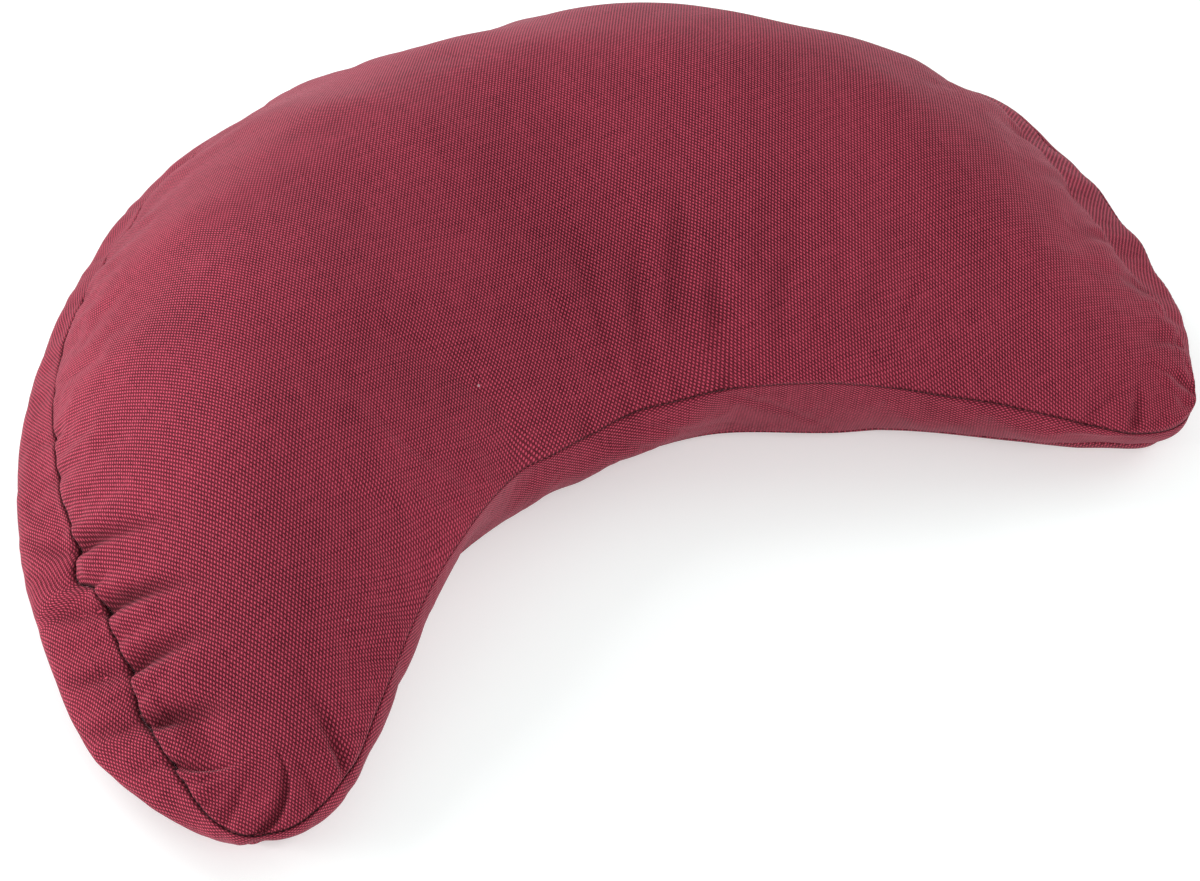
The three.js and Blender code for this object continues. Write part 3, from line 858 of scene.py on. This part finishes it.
class NodeSketch:
    """Short ways to add nodes to a tree and to link them."""

    def __init__(self, tree: bpy.types.NodeTree) -> None:
        """Keeps the tree that nodes are added to."""
        self.tree = tree

    def feed(self, socket: NodeSocket, source: object) -> None:
        """Links a socket to another, or gives it a plain value.

        Args:
            socket: The input.
            source: The output, or the value.
        """
        if isinstance(source, NodeSocket):
            self.tree.links.new(source, socket)
        else:
            socket.default_value = source

    def node(
        self, kind: str, feeds: dict[str | int, object] | None = None, **settings: object
    ) -> bpy.types.Node:
        """Adds a node.

        Args:
            kind: The node's type.
            feeds: What its inputs get, by name or number.
            **settings: Its own settings.

        Returns:
            The node.
        """
        made = self.tree.nodes.new(kind)
        for name, value in settings.items():
            setattr(made, name, value)
        for name, source in (feeds or {}).items():
            self.feed(made.inputs[name], source)
        return made

    def math(self, operation: str, *values: object) -> NodeSocket:
        """One step of arithmetic on numbers."""
        return self.node("ShaderNodeMath", dict(enumerate(values)), operation=operation).outputs[0]

    def weighed(self, a: object, a_share: float, b: object, b_share: float) -> NodeSocket:
        """The sum of two values, each times its share."""
        first = self.math("MULTIPLY", a, a_share)
        return self.math("ADD", first, self.math("MULTIPLY", b, b_share))

    def noise(self, vector: object, scale: float, detail: float = 2.0) -> NodeSocket:
        """Smooth noise between 0 and 1 over a vector."""
        feeds = {"Vector": vector, "Scale": scale, "Detail": detail}
        return self.node("ShaderNodeTexNoise", feeds).outputs["Fac"]

    def spread(self, vector: object, scale: tuple[float, float, float]) -> NodeSocket:
        """A vector times a scale along each axis."""
        return self.node("ShaderNodeMapping", {"Vector": vector, "Scale": scale}).outputs["Vector"]

    def mix(self, share: object, a: object, b: object) -> NodeSocket:
        """A mix of two colours."""
        feeds = {"Factor": share, "A": a, "B": b}
        return self.node("ShaderNodeMix", feeds, data_type="RGBA").outputs["Result"]

    def shade(self, feeds: dict[str | int, object]) -> None:
        """Adds the surface shader with these inputs and links it to the material's output."""
        shader = self.node("ShaderNodeBsdfPrincipled", feeds).outputs["BSDF"]
        self.node("ShaderNodeOutputMaterial", {"Surface": shader})


def new_material(name: str) -> tuple[bpy.types.Material, NodeSketch, NodeSocket]:
    """An empty material.

    Args:
        name: The material's name.

    Returns:
        The material, the sketch of its tree, and the place on the object.
    """
    made = bpy.data.materials.new(name)
    made.use_nodes = True
    made.node_tree.nodes.clear()
    sketch = NodeSketch(made.node_tree)
    return made, sketch, sketch.node("ShaderNodeTexCoord").outputs["Object"]


def new_group(
    name: str, inputs: dict[str, tuple[Socket, object]], outputs: dict[str, Socket]
) -> tuple[NodeSketch, bpy.types.Node, bpy.types.Node]:
    """An empty shader node group with named sockets.

    Args:
        name: The group's name.
        inputs: Each input's kind and value at first.
        outputs: Each output's kind.

    Returns:
        The sketch of its tree, its input node and its output node.
    """
    tree = bpy.data.node_groups.new(name, "ShaderNodeTree")
    for label, (kind, value) in inputs.items():
        made = tree.interface.new_socket(name=label, in_out="INPUT", socket_type=kind.value)
        if value is not None:
            made.default_value = value
    for label, kind in outputs.items():
        tree.interface.new_socket(name=label, in_out="OUTPUT", socket_type=kind.value)
    sketch = NodeSketch(tree)
    return sketch, sketch.node("NodeGroupInput"), sketch.node("NodeGroupOutput")


@dataclass(frozen=True)
class PlainWeave:
    """The plain weave of the canvas: one thread over, one under. Sizes in metres."""

    across_pitch: float = 0.00067
    along_pitch: float = 0.00100
    sunk: float = 0.62
    wander: float = 0.00022
    wander_scale: float = 260.0
    lit_from: float = 0.12
    lit_to: float = 0.9

    def group(self) -> bpy.types.NodeTree:
        """The weave as a node group.

        In thread counts u and v, a thread along v stands up by sqrt(1 - (2 frac(u) - 1)²)
        times 0.5 + 0.5 cos(pi (v - 0.5 + floor(u))), a thread along u by the same with the
        letters swapped and one more half turn, and lies lower by the sunk share. The higher of
        the two is the cloth's height, and only the threads along v catch the light.

        Returns:
            The group, with the outputs Height and Thread.
        """
        sketch, given, put = new_group(
            "plain_weave",
            {
                "Cloth": (Socket.VECTOR, None),
                "Across Pitch": (Socket.VALUE, self.across_pitch),
                "Along Pitch": (Socket.VALUE, self.along_pitch),
            },
            {"Height": Socket.VALUE, "Thread": Socket.VALUE},
        )
        cloth, step = given.outputs["Cloth"], "ShaderNodeVectorMath"
        jitter = sketch.node("ShaderNodeTexNoise", {"Vector": cloth, "Scale": self.wander_scale})
        centred = {0: jitter.outputs["Color"], 1: (0.5, 0.5, 0.5)}
        centred = sketch.node(step, centred, operation="SUBTRACT").outputs[0]
        scaled = {0: centred, "Scale": self.wander}
        moved = {0: cloth, 1: sketch.node(step, scaled, operation="SCALE").outputs[0]}
        moved = sketch.node(step, moved, operation="ADD").outputs[0]
        split = sketch.node("ShaderNodeSeparateXYZ", {0: moved})
        u = sketch.math("DIVIDE", split.outputs["X"], given.outputs["Across Pitch"])
        v = sketch.math("DIVIDE", split.outputs["Y"], given.outputs["Along Pitch"])
        upright = self.thread(sketch, u, v, 0.0)
        lower = sketch.math("MULTIPLY", self.thread(sketch, v, u, 1.0), self.sunk)
        sketch.feed(put.inputs["Height"], sketch.math("MAXIMUM", upright, lower))
        lit = sketch.math("MAXIMUM", upright, sketch.math("MULTIPLY", lower, self.sunk))
        ramp = {"Value": lit, "From Min": self.lit_from, "From Max": self.lit_to}
        lit = sketch.node("ShaderNodeMapRange", ramp, clamp=True).outputs["Result"]
        sketch.feed(put.inputs["Thread"], lit)
        return sketch.tree

    @staticmethod
    def thread(sketch: NodeSketch, side: NodeSocket, ahead: NodeSocket, turn: float) -> NodeSocket:
        """The height of one set of threads.

        Args:
            sketch: The group's sketch.
            side: Thread count across these threads.
            ahead: Thread count along them.
            turn: Half turns that are added, so that the other set is over where this is under.

        Returns:
            The height, from 0 to 1.
        """
        part = sketch.math("FRACT", side)
        off = sketch.math("SUBTRACT", sketch.math("MULTIPLY", part, 2.0), 1.0)
        crown = sketch.math("SQRT", sketch.math("SUBTRACT", 1.0, sketch.math("POWER", off, 2.0)))
        count = sketch.math("ADD", ahead, sketch.math("FLOOR", side))
        phase = sketch.math("ADD", count, turn - 0.5)
        wave = sketch.math("COSINE", sketch.math("MULTIPLY", phase, math.pi))
        over = sketch.math("ADD", sketch.math("MULTIPLY", wave, 0.5), 0.5)
        return sketch.math("MULTIPLY", crown, over)


@dataclass(frozen=True)
class YarnTone:
    """Uneven yarn: streaks along both sets of threads, soft patches and a few pale specks."""

    streak_across: float = 1500.0
    streak_along: float = 70.0
    level_share: float = 0.7
    patch_scale: float = 16.0
    patch_detail: float = 3.0
    yarn_share: float = 0.35
    patch_share: float = 0.3
    speck_scale: float = 34.0
    speck_size: float = 0.018

    def group(self) -> bpy.types.NodeTree:
        """The tone as a node group with one output around 0.5 and one for pale specks.

        Returns:
            The group, with the outputs Tone and Speck.
        """
        sketch, given, put = new_group(
            "yarn_tone",
            {"Cloth": (Socket.VECTOR, None), "Place": (Socket.VECTOR, None)},
            {"Tone": Socket.VALUE, "Speck": Socket.VALUE},
        )
        cloth, place = given.outputs["Cloth"], given.outputs["Place"]
        fine, long = self.streak_across, self.streak_along
        first = sketch.noise(sketch.spread(cloth, (fine, long, 1.0)), 1.0, 1.0)
        level = sketch.spread(cloth, (long, fine * self.level_share, 1.0))
        yarn = sketch.math("ADD", first, sketch.noise(level, 1.0, 1.0))
        patch = sketch.noise(place, self.patch_scale, self.patch_detail)
        tone = sketch.weighed(yarn, self.yarn_share, patch, self.patch_share)
        sketch.feed(put.inputs["Tone"], tone)
        cells = {"Vector": place, "Scale": self.speck_scale}
        cells = sketch.node("ShaderNodeTexVoronoi", cells, feature="F1").outputs["Distance"]
        sketch.feed(put.inputs["Speck"], sketch.math("LESS_THAN", cells, self.speck_size))
        return sketch.tree


@dataclass(frozen=True)
class CanvasFinish:
    """Matt cotton canvas with a faint fuzz, from the weave and tone groups."""

    name: str
    weave: bpy.types.NodeTree
    yarn: bpy.types.NodeTree
    # deep and raised are the canvas's crimson, with painted shade on the lower threads and painted
    # light on the upper ones.
    deep: Colour = (0.040, 0.0015, 0.006, 1.0)
    lit_thread: Colour = (0.655, 0.080, 0.138, 1.0)
    # groove is the colour of the painted shade along the seams and in folds.
    painted_dark: Colour = (0.020, 0.0005, 0.0015, 1.0)
    speck: Colour = (0.75, 0.5, 0.52, 1.0)
    fuzz_tint: Colour = (1.0, 0.60, 0.68, 1.0)
    fuzz: float = 0.2
    fuzz_roughness: float = 0.3
    specular: float = 0.18
    thread_relief: float = 0.00022
    relief_strength: float = 0.8
    lit_power: float = 1.7
    lit_share: float = 0.8
    tone_share: float = 0.6
    dark_share: float = 0.25
    most_share: float = 1.3
    speck_share: float = 0.45
    # painted_shade_share: how far the painted shade darkens towards that colour.
    painted_shade_share: float = 0.92
    raised_smoother: float = 0.12

    def material(self) -> bpy.types.Material:
        """The finish as a material.

        Returns:
            The new material.
        """
        made, sketch, place = new_material(self.name)
        cloth = sketch.node("ShaderNodeUVMap", uv_map=CLOTH_UV).outputs["UV"]
        weave = sketch.node("ShaderNodeGroup", node_tree=self.weave)
        sketch.feed(weave.inputs["Cloth"], cloth)
        yarn = sketch.node("ShaderNodeGroup", node_tree=self.yarn)
        sketch.feed(yarn.inputs["Cloth"], cloth)
        sketch.feed(yarn.inputs["Place"], place)
        # Painted light and shade of the weave: threads that catch the light go towards raised, the
        # rest towards deep.
        lit = sketch.math("POWER", weave.outputs["Thread"], self.lit_power)
        share = sketch.weighed(lit, self.lit_share, yarn.outputs["Tone"], self.tone_share)
        share = sketch.math("SUBTRACT", share, self.dark_share)
        share = sketch.math("MINIMUM", sketch.math("MAXIMUM", share, 0.0), self.most_share)
        colour = sketch.mix(share, self.deep, self.lit_thread)
        speckled = sketch.math("MULTIPLY", yarn.outputs["Speck"], self.speck_share)
        colour = sketch.mix(speckled, colour, self.speck)
        # Painted shade along the seams and in folds, read from the point attribute and mixed
        # towards groove.
        painted_shade = sketch.node("ShaderNodeAttribute", attribute_name=SHADE_ATTRIBUTE).outputs["Fac"]
        painted_shade_mask = sketch.math("MULTIPLY", painted_shade, self.painted_shade_share)
        height = weave.outputs["Height"]
        smoother = sketch.math("MULTIPLY", height, self.raised_smoother)
        relief = {
            "Strength": self.relief_strength, "Distance": self.thread_relief, "Height": height
        }
        sketch.shade({
            "Base Color": sketch.mix(painted_shade_mask, colour, self.painted_dark),
            "Roughness": sketch.math("SUBTRACT", 1.0, smoother),
            "Specular IOR Level": self.specular,
            "Sheen Weight": self.fuzz,
            "Sheen Roughness": self.fuzz_roughness,
            "Sheen Tint": self.fuzz_tint,
            "Normal": sketch.node("ShaderNodeBump", relief).outputs["Normal"],
        })
        return made


@dataclass(frozen=True)
class ThreadFinish:
    """Sewing thread: a tone lighter than the canvas, with the twist of its plies."""

    name: str = "sewing_thread"
    colour: Colour = (0.20, 0.016, 0.034, 1.0)
    shade: Colour = (0.06, 0.004, 0.010, 1.0)
    ply_scale: float = 5200.0 / 6
    roughness: float = 0.7
    fuzz: float = 0.2

    def material(self) -> bpy.types.Material:
        """The finish as a material.

        Returns:
            The new material.
        """
        made, sketch, place = new_material(self.name)
        plies = {"Vector": place, "Scale": self.ply_scale}
        plies = sketch.node("ShaderNodeTexWave", plies, bands_direction="DIAGONAL").outputs["Fac"]
        colour = sketch.mix(plies, self.shade, self.colour)
        sketch.shade({"Base Color": colour, "Roughness": self.roughness, "Sheen Weight": self.fuzz})
        return made


@dataclass(frozen=True)
class FloorPaint:
    """Plain white paint with a faint unevenness."""

    name: str = "studio_floor"
    darker: Colour = (0.69, 0.740, 0.732, 1.0)
    lighter: Colour = (0.72, 0.770, 0.762, 1.0)
    tone_scale: float = 3.0
    glow: float = 0.38
    roughness: float = 0.9

    def material(self) -> bpy.types.Material:
        """The finish as a material.

        Returns:
            The new material.
        """
        made, sketch, place = new_material(self.name)
        tone = sketch.noise(place, self.tone_scale)
        sketch.shade({
            "Base Color": sketch.mix(tone, self.darker, self.lighter),
            "Emission Color": (1.0, 1.0, 1.0, 1.0),
            "Emission Strength": self.glow,
            "Roughness": self.roughness,
        })
        return made


@dataclass(frozen=True)
class CoverInflation:
    """The sewn cover blown up as cloth, with both seams held and a little cloth to spare.

    The spare cloth wrinkles beside the seams. Only what varies along the seam is kept, so that
    the cushion's own outline stays.
    """

    plan: CrescentPlan
    steps: int = 170
    crown_rows: int = 18
    band_rows: int = 9
    foot_shares: tuple[float, ...] = (0.4, 1.0)
    frames: int = 20
    quality: int = 6
    pressure: float = 4.0
    bending: float = 0.3
    spare: float = 0.03
    even_over: float = 22.0
    cap: float = 2.5

    def run(self) -> Wrinkles:
        """Runs the simulation on a coarse closed cover and reads the heights off.

        Returns:
            The wrinkles, 0 at the spine and at both seams.
        """
        surface = CushionSurface(self.plan, self.steps)
        loop = surface.loop
        skin = RingSkin(loop)
        skin.add_cap(loop.spine_height)
        crown = surface.base(loop.width[:, None] * np.linspace(1, 0, self.crown_rows + 1)[1:])
        band = surface.base(-surface.fall[:, None] * np.linspace(0, 1, self.band_rows + 1)[1:])
        foot = surface.bottom_rows(self.foot_shares, 0.0)
        for grid in (crown, band, foot):
            skin.add_grid(grid, grid[..., :2])
        skin.add_cap(0.0)
        cover = skin.make("cover")
        last = self.crown_rows + self.band_rows
        rings = np.stack(skin.rings[: last + 1], axis=1)
        fixed = np.concatenate([rings[:, self.crown_rows], *skin.rings[last:]])
        held = cover.vertex_groups.new(name="held")
        held.add(np.unique(fixed).tolist(), 1.0, "REPLACE")
        before = self.read(cover.data)
        normals = np.empty(len(cover.data.vertices) * 3, np.float32)
        cover.data.vertex_normals.foreach_get("vector", normals)
        after = self.inflate(cover)
        moved = ((after - before) * normals.reshape(-1, 3)).sum(axis=1) / MM
        bpy.data.objects.remove(cover)
        heights = moved[rings]
        weight = loop.nearness(self.even_over)
        kept = heights - weight / weight.sum(axis=1, keepdims=True) @ heights
        most = np.abs(heights).max(), np.abs(kept).max()
        log.info("cloth simulation: lift %.2f mm, wrinkles %.2f mm", *most)
        kept = self.cap * np.tanh(kept / self.cap)
        return Wrinkles(loop.run, loop.total, kept, self.crown_rows)

    def inflate(self, cover: bpy.types.Object) -> Array:
        """Adds the cloth physics, steps through the frames and reads the last shape.

        Args:
            cover: The coarse cover, with its held points in the group "held".

        Returns:
            The points after the last frame, in metres.
        """
        cloth = cover.modifiers.new("inflate", "CLOTH")
        settings = cloth.settings
        settings.quality = self.quality
        settings.use_pressure = True
        settings.uniform_pressure_force = self.pressure
        settings.vertex_group_mass = "held"
        settings.shrink_min = -self.spare
        settings.bending_stiffness = self.bending
        settings.effector_weights.gravity = 0.0
        cloth.point_cache.frame_end = self.frames
        scene = bpy.context.scene
        for number in range(1, self.frames + 1):
            scene.frame_set(number)
        shape = cover.evaluated_get(bpy.context.evaluated_depsgraph_get())
        after = self.read(shape.to_mesh())
        shape.to_mesh_clear()
        scene.frame_set(1)
        return after

    @staticmethod
    def read(mesh: bpy.types.Mesh) -> Array:
        """The points of a mesh.

        Args:
            mesh: The mesh.

        Returns:
            Points (x, y, z), in the mesh's own unit.
        """
        points = np.empty(len(mesh.vertices) * 3, np.float32)
        mesh.vertices.foreach_get("co", points)
        return points.reshape(-1, 3).astype(float)


@dataclass
class SewnPiece:
    """What all the pieces have: the surface they follow, and a finish."""

    surface: CushionSurface

    def dress(self, finish: bpy.types.Material) -> None:
        """Gives the piece its finish."""
        self.piece.data.materials.append(finish)


@dataclass
class FilledBody(SewnPiece):
    """The filled crescent: its skin is the top panel, and below the seam it fills the cover."""

    crown_rows: int = 64
    row_growth: float = 1.7
    side_shares: tuple[float, ...] = (0.05, 0.25, 0.5, 0.75, 0.985)
    foot_shares: tuple[float, ...] = (0.4, 1.0)
    fill: float = 0.9
    node: str = "cushion_body"

    def inwards(self) -> Array:
        """Columns from the spine out to the seam: even shares, each to the power of the growth.

        Returns:
            Distance inwards of the plain seam line, for each loop point and column.
        """
        share = np.linspace(1, 0, self.crown_rows + 1)[1:] ** self.row_growth
        seam = self.surface.seam_at[:, None]
        return seam + (self.surface.loop.width[:, None] - seam) * share

    def cloth(self, grid: Array) -> Array:
        """Cloth coordinates of the top panel: laid out flat from the spine.

        Each point lies at the spine's point plus the length of cloth from the spine, in the
        direction of its own cross-section in plan.

        Args:
            grid: Points of the plain surface, from the spine outwards.

        Returns:
            Coordinates (x, y) in millimetres.
        """
        loop = self.surface.loop
        spine = np.column_stack([loop.spine, loop.crown_z])
        whole = np.concatenate([spine[:, None, :], grid], axis=1)
        length = np.cumsum(np.linalg.norm(np.diff(whole, axis=1), axis=2), axis=1)
        ahead = unit(loop.plan - loop.spine)
        return loop.spine[:, None, :] + ahead[:, None, :] * length[..., None]

    def build(self) -> bpy.types.Object:
        """Makes the closed body: crown, turned seam edge, then side and base inside the cover.

        Returns:
            The piece.
        """
        surface, loop = self.surface, self.surface.loop
        under = surface.CLOTH + surface.GAP
        inwards = self.inwards()
        cloth = self.cloth(surface.base(inwards))
        skin = RingSkin(loop)
        skin.add_cap(loop.spine_height + surface.relief.swell(loop.spine_line))
        skin.add_grid(surface.dressed(inwards), cloth, surface.painted_shade(inwards))
        seam = surface.seam_at[:, None]
        down = seam - np.array(self.side_shares) * (surface.fall[:, None] + seam)
        skin.add_grid(surface.base(down, under), cloth[:, -1:])
        skin.add_grid(surface.bottom_rows(self.foot_shares, under), cloth[:, -1:])
        skin.add_cap(under)
        self.piece = skin.make("filled_body_top_panel")
        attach(self.piece, "root")
        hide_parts(self.node)
        return self.piece


@dataclass
class SideBand(SewnPiece):
    """The strip of canvas round the sides, between the two seams."""

    rows: int = 36
    edge_crowding: float = 0.7
    inside_shares: tuple[float, ...] = (0.985, 0.75, 0.5, 0.25, 0.05)
    flat: tuple[float, float] = (1.31, 0.048)
    node: str = "side_band"

    def build(self) -> bpy.types.Object:
        """Makes the strip with both faces: down the outside, up the inside.

        The rows of the outside crowd at both seams: a mix of s and 0.5 - 0.5 cos(pi s).

        Returns:
            The piece.
        """
        surface, loop = self.surface, self.surface.loop
        seam, run = surface.seam_at[:, None], loop.run[:, None]
        even = np.linspace(0, 1, self.rows + 1)
        share = blend(even, 0.5 - 0.5 * np.cos(math.pi * even), self.edge_crowding)
        inwards = seam - (surface.fall[:, None] + seam) * share
        step = np.linalg.norm(np.diff(surface.base(inwards), axis=1), axis=2)
        length = np.concatenate([np.zeros((loop.size, 1)), np.cumsum(step, axis=1)], axis=1)
        skin = RingSkin(loop)
        cloth = np.stack(np.broadcast_arrays(length, run), -1)
        skin.add_grid(surface.dressed(inwards), cloth, surface.painted_shade(inwards))
        back = seam - np.array(self.inside_shares) * (surface.fall[:, None] + seam)
        cloth = np.stack(np.broadcast_arrays(-back, run), -1)
        skin.add_grid(surface.base(back, surface.CLOTH), cloth)
        self.piece = skin.make("side_band_cloth", tube=True)
        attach(self.piece, "root")
        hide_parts(self.node)
        return self.piece


@dataclass
class BottomPanel(SewnPiece):
    """The lower crescent of canvas: flat on the ground, rolled up to the bottom seam."""

    roll_rows: tuple[float, ...] = (0.04, 0.1, 0.18, 0.28, 0.4, 0.52, 0.64, 0.76, 0.88, 1.0)
    flat: tuple[float, float] = (0.46, 0.34)
    area: float = 0.0805
    node: str = "bottom_panel"

    def build(self) -> bpy.types.Object:
        """Makes the panel with both faces: the upper one outwards, the lower one back.

        Returns:
            The piece.
        """
        surface, thick = self.surface, self.surface.CLOTH
        skin = RingSkin(surface.loop)
        skin.add_cap(thick)
        for shares, lift in ((self.roll_rows[::-1], thick), ((0.0, *self.roll_rows), 0.0)):
            grid = surface.bottom_rows(shares, lift)
            skin.add_grid(grid, grid[..., :2])
        skin.add_cap(0.0)
        self.piece = skin.make("bottom_panel_cloth")
        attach(self.piece, "root")
        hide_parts(self.node)
        return self.piece


@dataclass
class SeamStitches(SewnPiece):
    """The needle thread where it shows in the top seam: one short loop over each stitch."""

    length: float = 1.5
    thick: float = 0.28
    lifted: float = 0.3
    slant: float = 0.5
    bluntness: float = 0.6
    across_step: float = 0.2
    sides: int = 6
    rings: int = 5

    def axes(self, normal: Array) -> tuple[Array, Array, Array]:
        """The three directions of each stitch.

        Args:
            normal: The seam's outward direction in plan at each stitch.

        Returns:
            Along the stitch, beside it, and outwards.
        """
        out, up = self.surface.COMMON_OUT, self.surface.COMMON_UP
        outwards = unit(np.column_stack([out * normal, np.full(len(normal), up)]))
        across = unit(np.column_stack([up * normal, np.full(len(normal), -out)]))
        axis = unit(across + self.slant * np.cross(outwards, across))
        return axis, np.cross(axis, outwards), outwards

    def build(self) -> bpy.types.Object:
        """Makes all stitches as one mesh of small closed beads along the seam.

        A bead is a stretched ball: radius sin(pi a)^bluntness, laid along the slanted stitch.

        Returns:
            The piece.
        """
        surface, loop = self.surface, self.surface.loop
        pitch = surface.relief.roll.stitch_pitch
        count = int(loop.total / pitch)
        run = (np.arange(count) + 0.5) * pitch
        beside = np.repeat(surface.seam_at[:, None], 2, axis=1) + np.array([0, self.across_step])
        seam = surface.dressed(beside)[:, 0]
        centre, normal = (
            np.stack([np.interp(run, loop.run, column, period=loop.total) for column in line.T], -1)
            for line in (seam, loop.normal)
        )
        axis, side, outwards = self.axes(unit(normal))
        a = np.linspace(0, 1, self.rings + 1)
        b = np.linspace(0, FULL_TURN, self.sides, endpoint=False)
        girth = np.sin(math.pi * a) ** self.bluntness * self.thick / 2
        x = np.repeat(((a - 0.5) * self.length)[:, None], self.sides, 1).ravel()
        y = (girth[:, None] * np.cos(b)).ravel()
        z = (girth[:, None] * np.sin(b)).ravel()
        lifted = centre + outwards * self.lifted
        points = (
            lifted[:, None, :] + axis[:, None, :] * x[None, :, None]
            + side[:, None, :] * y[None, :, None] + outwards[:, None, :] * z[None, :, None]
        )
        rows = np.arange(self.rings)[:, None] * self.sides
        cols = np.arange(self.sides)[None, :]
        here, there = rows + cols, rows + (cols + 1) % self.sides
        quads = np.stack([here, here + self.sides, there + self.sides, there], -1).reshape(-1, 4)
        corners = np.concatenate([quads[:, [0, 1, 2]], quads[:, [0, 2, 3]]])
        corners = corners[None] + (np.arange(count) * len(x))[:, None, None]
        points, corners = points.reshape(-1, 3) * MM, corners.reshape(-1, 3)
        self.piece = mesh_piece("top_seam_stitches", points, corners)
        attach(self.piece, "root")
        return self.piece


@dataclass
class Studio:
    """Pale floor, soft boxes and the camera. Sizes in metres, angles in degrees.

    A box has its azimuth, elevation, distance, side and power in watts.
    """

    azimuth: float = -32.303
    elevation: float = 45.002
    distance: float = 1.12015
    focal_px: float = 3201.73
    frame_px: float = 1200.0
    sensor_mm: float = 36.0
    aim: tuple[float, float, float] = (-0.021361, -0.081896, 0.045)
    roll: float = 1.03926
    floor_size: float = 6.0
    world_strength: float = 0.50
    box_aim: float = 0.05
    boxes: tuple[tuple[float, ...], ...] = (
        (-165.0, 32.0, 1.8, 1.1, 20.0),
        (80.0, 25.0, 1.8, 1.2, 9.0),
        (-108.0, 9.0, 1.8, 0.7, 26.0),
        (-10.0, 38.0, 1.9, 1.2, 13.0),
    )

    def build(self) -> None:
        """Makes the floor, the lights and the camera."""
        corners = np.array([[-1, -1, 0], [1, -1, 0], [1, 1, 0], [-1, 1, 0]], float)
        triangles = np.array([[0, 1, 2], [0, 2, 3]])
        self.floor = mesh_piece("floor", corners * self.floor_size / 2, triangles)
        world = bpy.data.worlds.new("studio")
        world.use_nodes = True
        background = world.node_tree.nodes["Background"]
        background.inputs["Color"].default_value = (1, 1, 1, 1)
        background.inputs["Strength"].default_value = self.world_strength
        bpy.context.scene.world = world
        for number, (azimuth, elevation, distance, size, power) in enumerate(self.boxes):
            name = f"soft_box_{number + 1}"
            lamp = bpy.data.lights.new(name, "AREA")
            lamp.shape, lamp.size, lamp.energy = "SQUARE", size, power
            back = self.direction(azimuth, elevation)
            place = UP * self.box_aim + back * distance
            self.place(bpy.data.objects.new(name, lamp), self.aimed(back), place)
        self.camera()

    @staticmethod
    def direction(azimuth: float, elevation: float) -> Array:
        """The way from the object to a viewer: azimuth 0 stands at -Y, 90 at +X."""
        a, e = math.radians(azimuth), math.radians(elevation)
        return np.array([math.sin(a) * math.cos(e), -math.cos(a) * math.cos(e), math.sin(e)])

    @staticmethod
    def aimed(back: Array, roll: float = 0.0) -> Array:
        """A turn whose -Z looks along -back, with X level but for the roll.

        Args:
            back: Unit vector from the target to the lamp or camera.
            roll: Turn of the picture, in degrees.

        Returns:
            Three columns: right, up and back.
        """
        right = unit(np.cross(UP, back))
        up = np.cross(back, right)
        c, s = math.cos(math.radians(roll)), math.sin(math.radians(roll))
        return np.stack([c * right + s * up, c * up - s * right, back], axis=1)

    @staticmethod
    def place(item: bpy.types.Object, turn: Array, at: Array) -> None:
        """Puts a lamp or camera at a point with a turn.

        Args:
            item: The lamp or camera.
            turn: Its three axes, as columns.
            at: The point.
        """
        matrix = np.eye(4)
        matrix[:3, :3], matrix[:3, 3] = turn, at
        bpy.context.scene.collection.objects.link(item)
        item.matrix_world = Matrix(matrix.tolist())

    def camera(self) -> None:
        """Adds the camera at the photograph's viewing angle."""
        lens = bpy.data.cameras.new("camera")
        lens.sensor_fit, lens.sensor_width = "HORIZONTAL", self.sensor_mm
        lens.lens = self.focal_px / self.frame_px * self.sensor_mm
        back = self.direction(self.azimuth, self.elevation)
        item = bpy.data.objects.new("camera", lens)
        self.place(item, self.aimed(back, self.roll), np.array(self.aim) + back * self.distance)
        bpy.context.scene.camera = item

    def dress(self, finish: bpy.types.Material) -> None:
        """Gives the floor its finish."""
        self.floor.data.materials.append(finish)


def main() -> None:
    """Builds and dresses every piece in order."""
    logging.basicConfig(level=logging.INFO, format="%(name)s: %(message)s")
    bpy.context.scene.view_settings.view_transform = "Standard"
    studio = Studio()
    studio.build()
    studio.dress(FloorPaint().material())
    plan = CrescentPlan()
    wrinkles = CoverInflation(plan).run()
    surface = CushionSurface(plan, SURFACE_STEPS, wrinkles)
    weave, yarn = PlainWeave().group(), YarnTone().group()
    canvas = CanvasFinish("canvas_panels", weave, yarn).material()
    band_canvas = CanvasFinish("canvas_band", weave, yarn).material()
    thread = ThreadFinish().material()
    for maker, finish in (
        (FilledBody(surface), canvas),
        (SideBand(surface), band_canvas),
        (BottomPanel(surface), canvas),
        (SeamStitches(surface), thread),
    ):
        piece = maker.build()
        maker.dress(finish)
        log.info("%s: %d triangles", piece.name, len(piece.data.polygons))


if __name__ == "__main__":
    main()
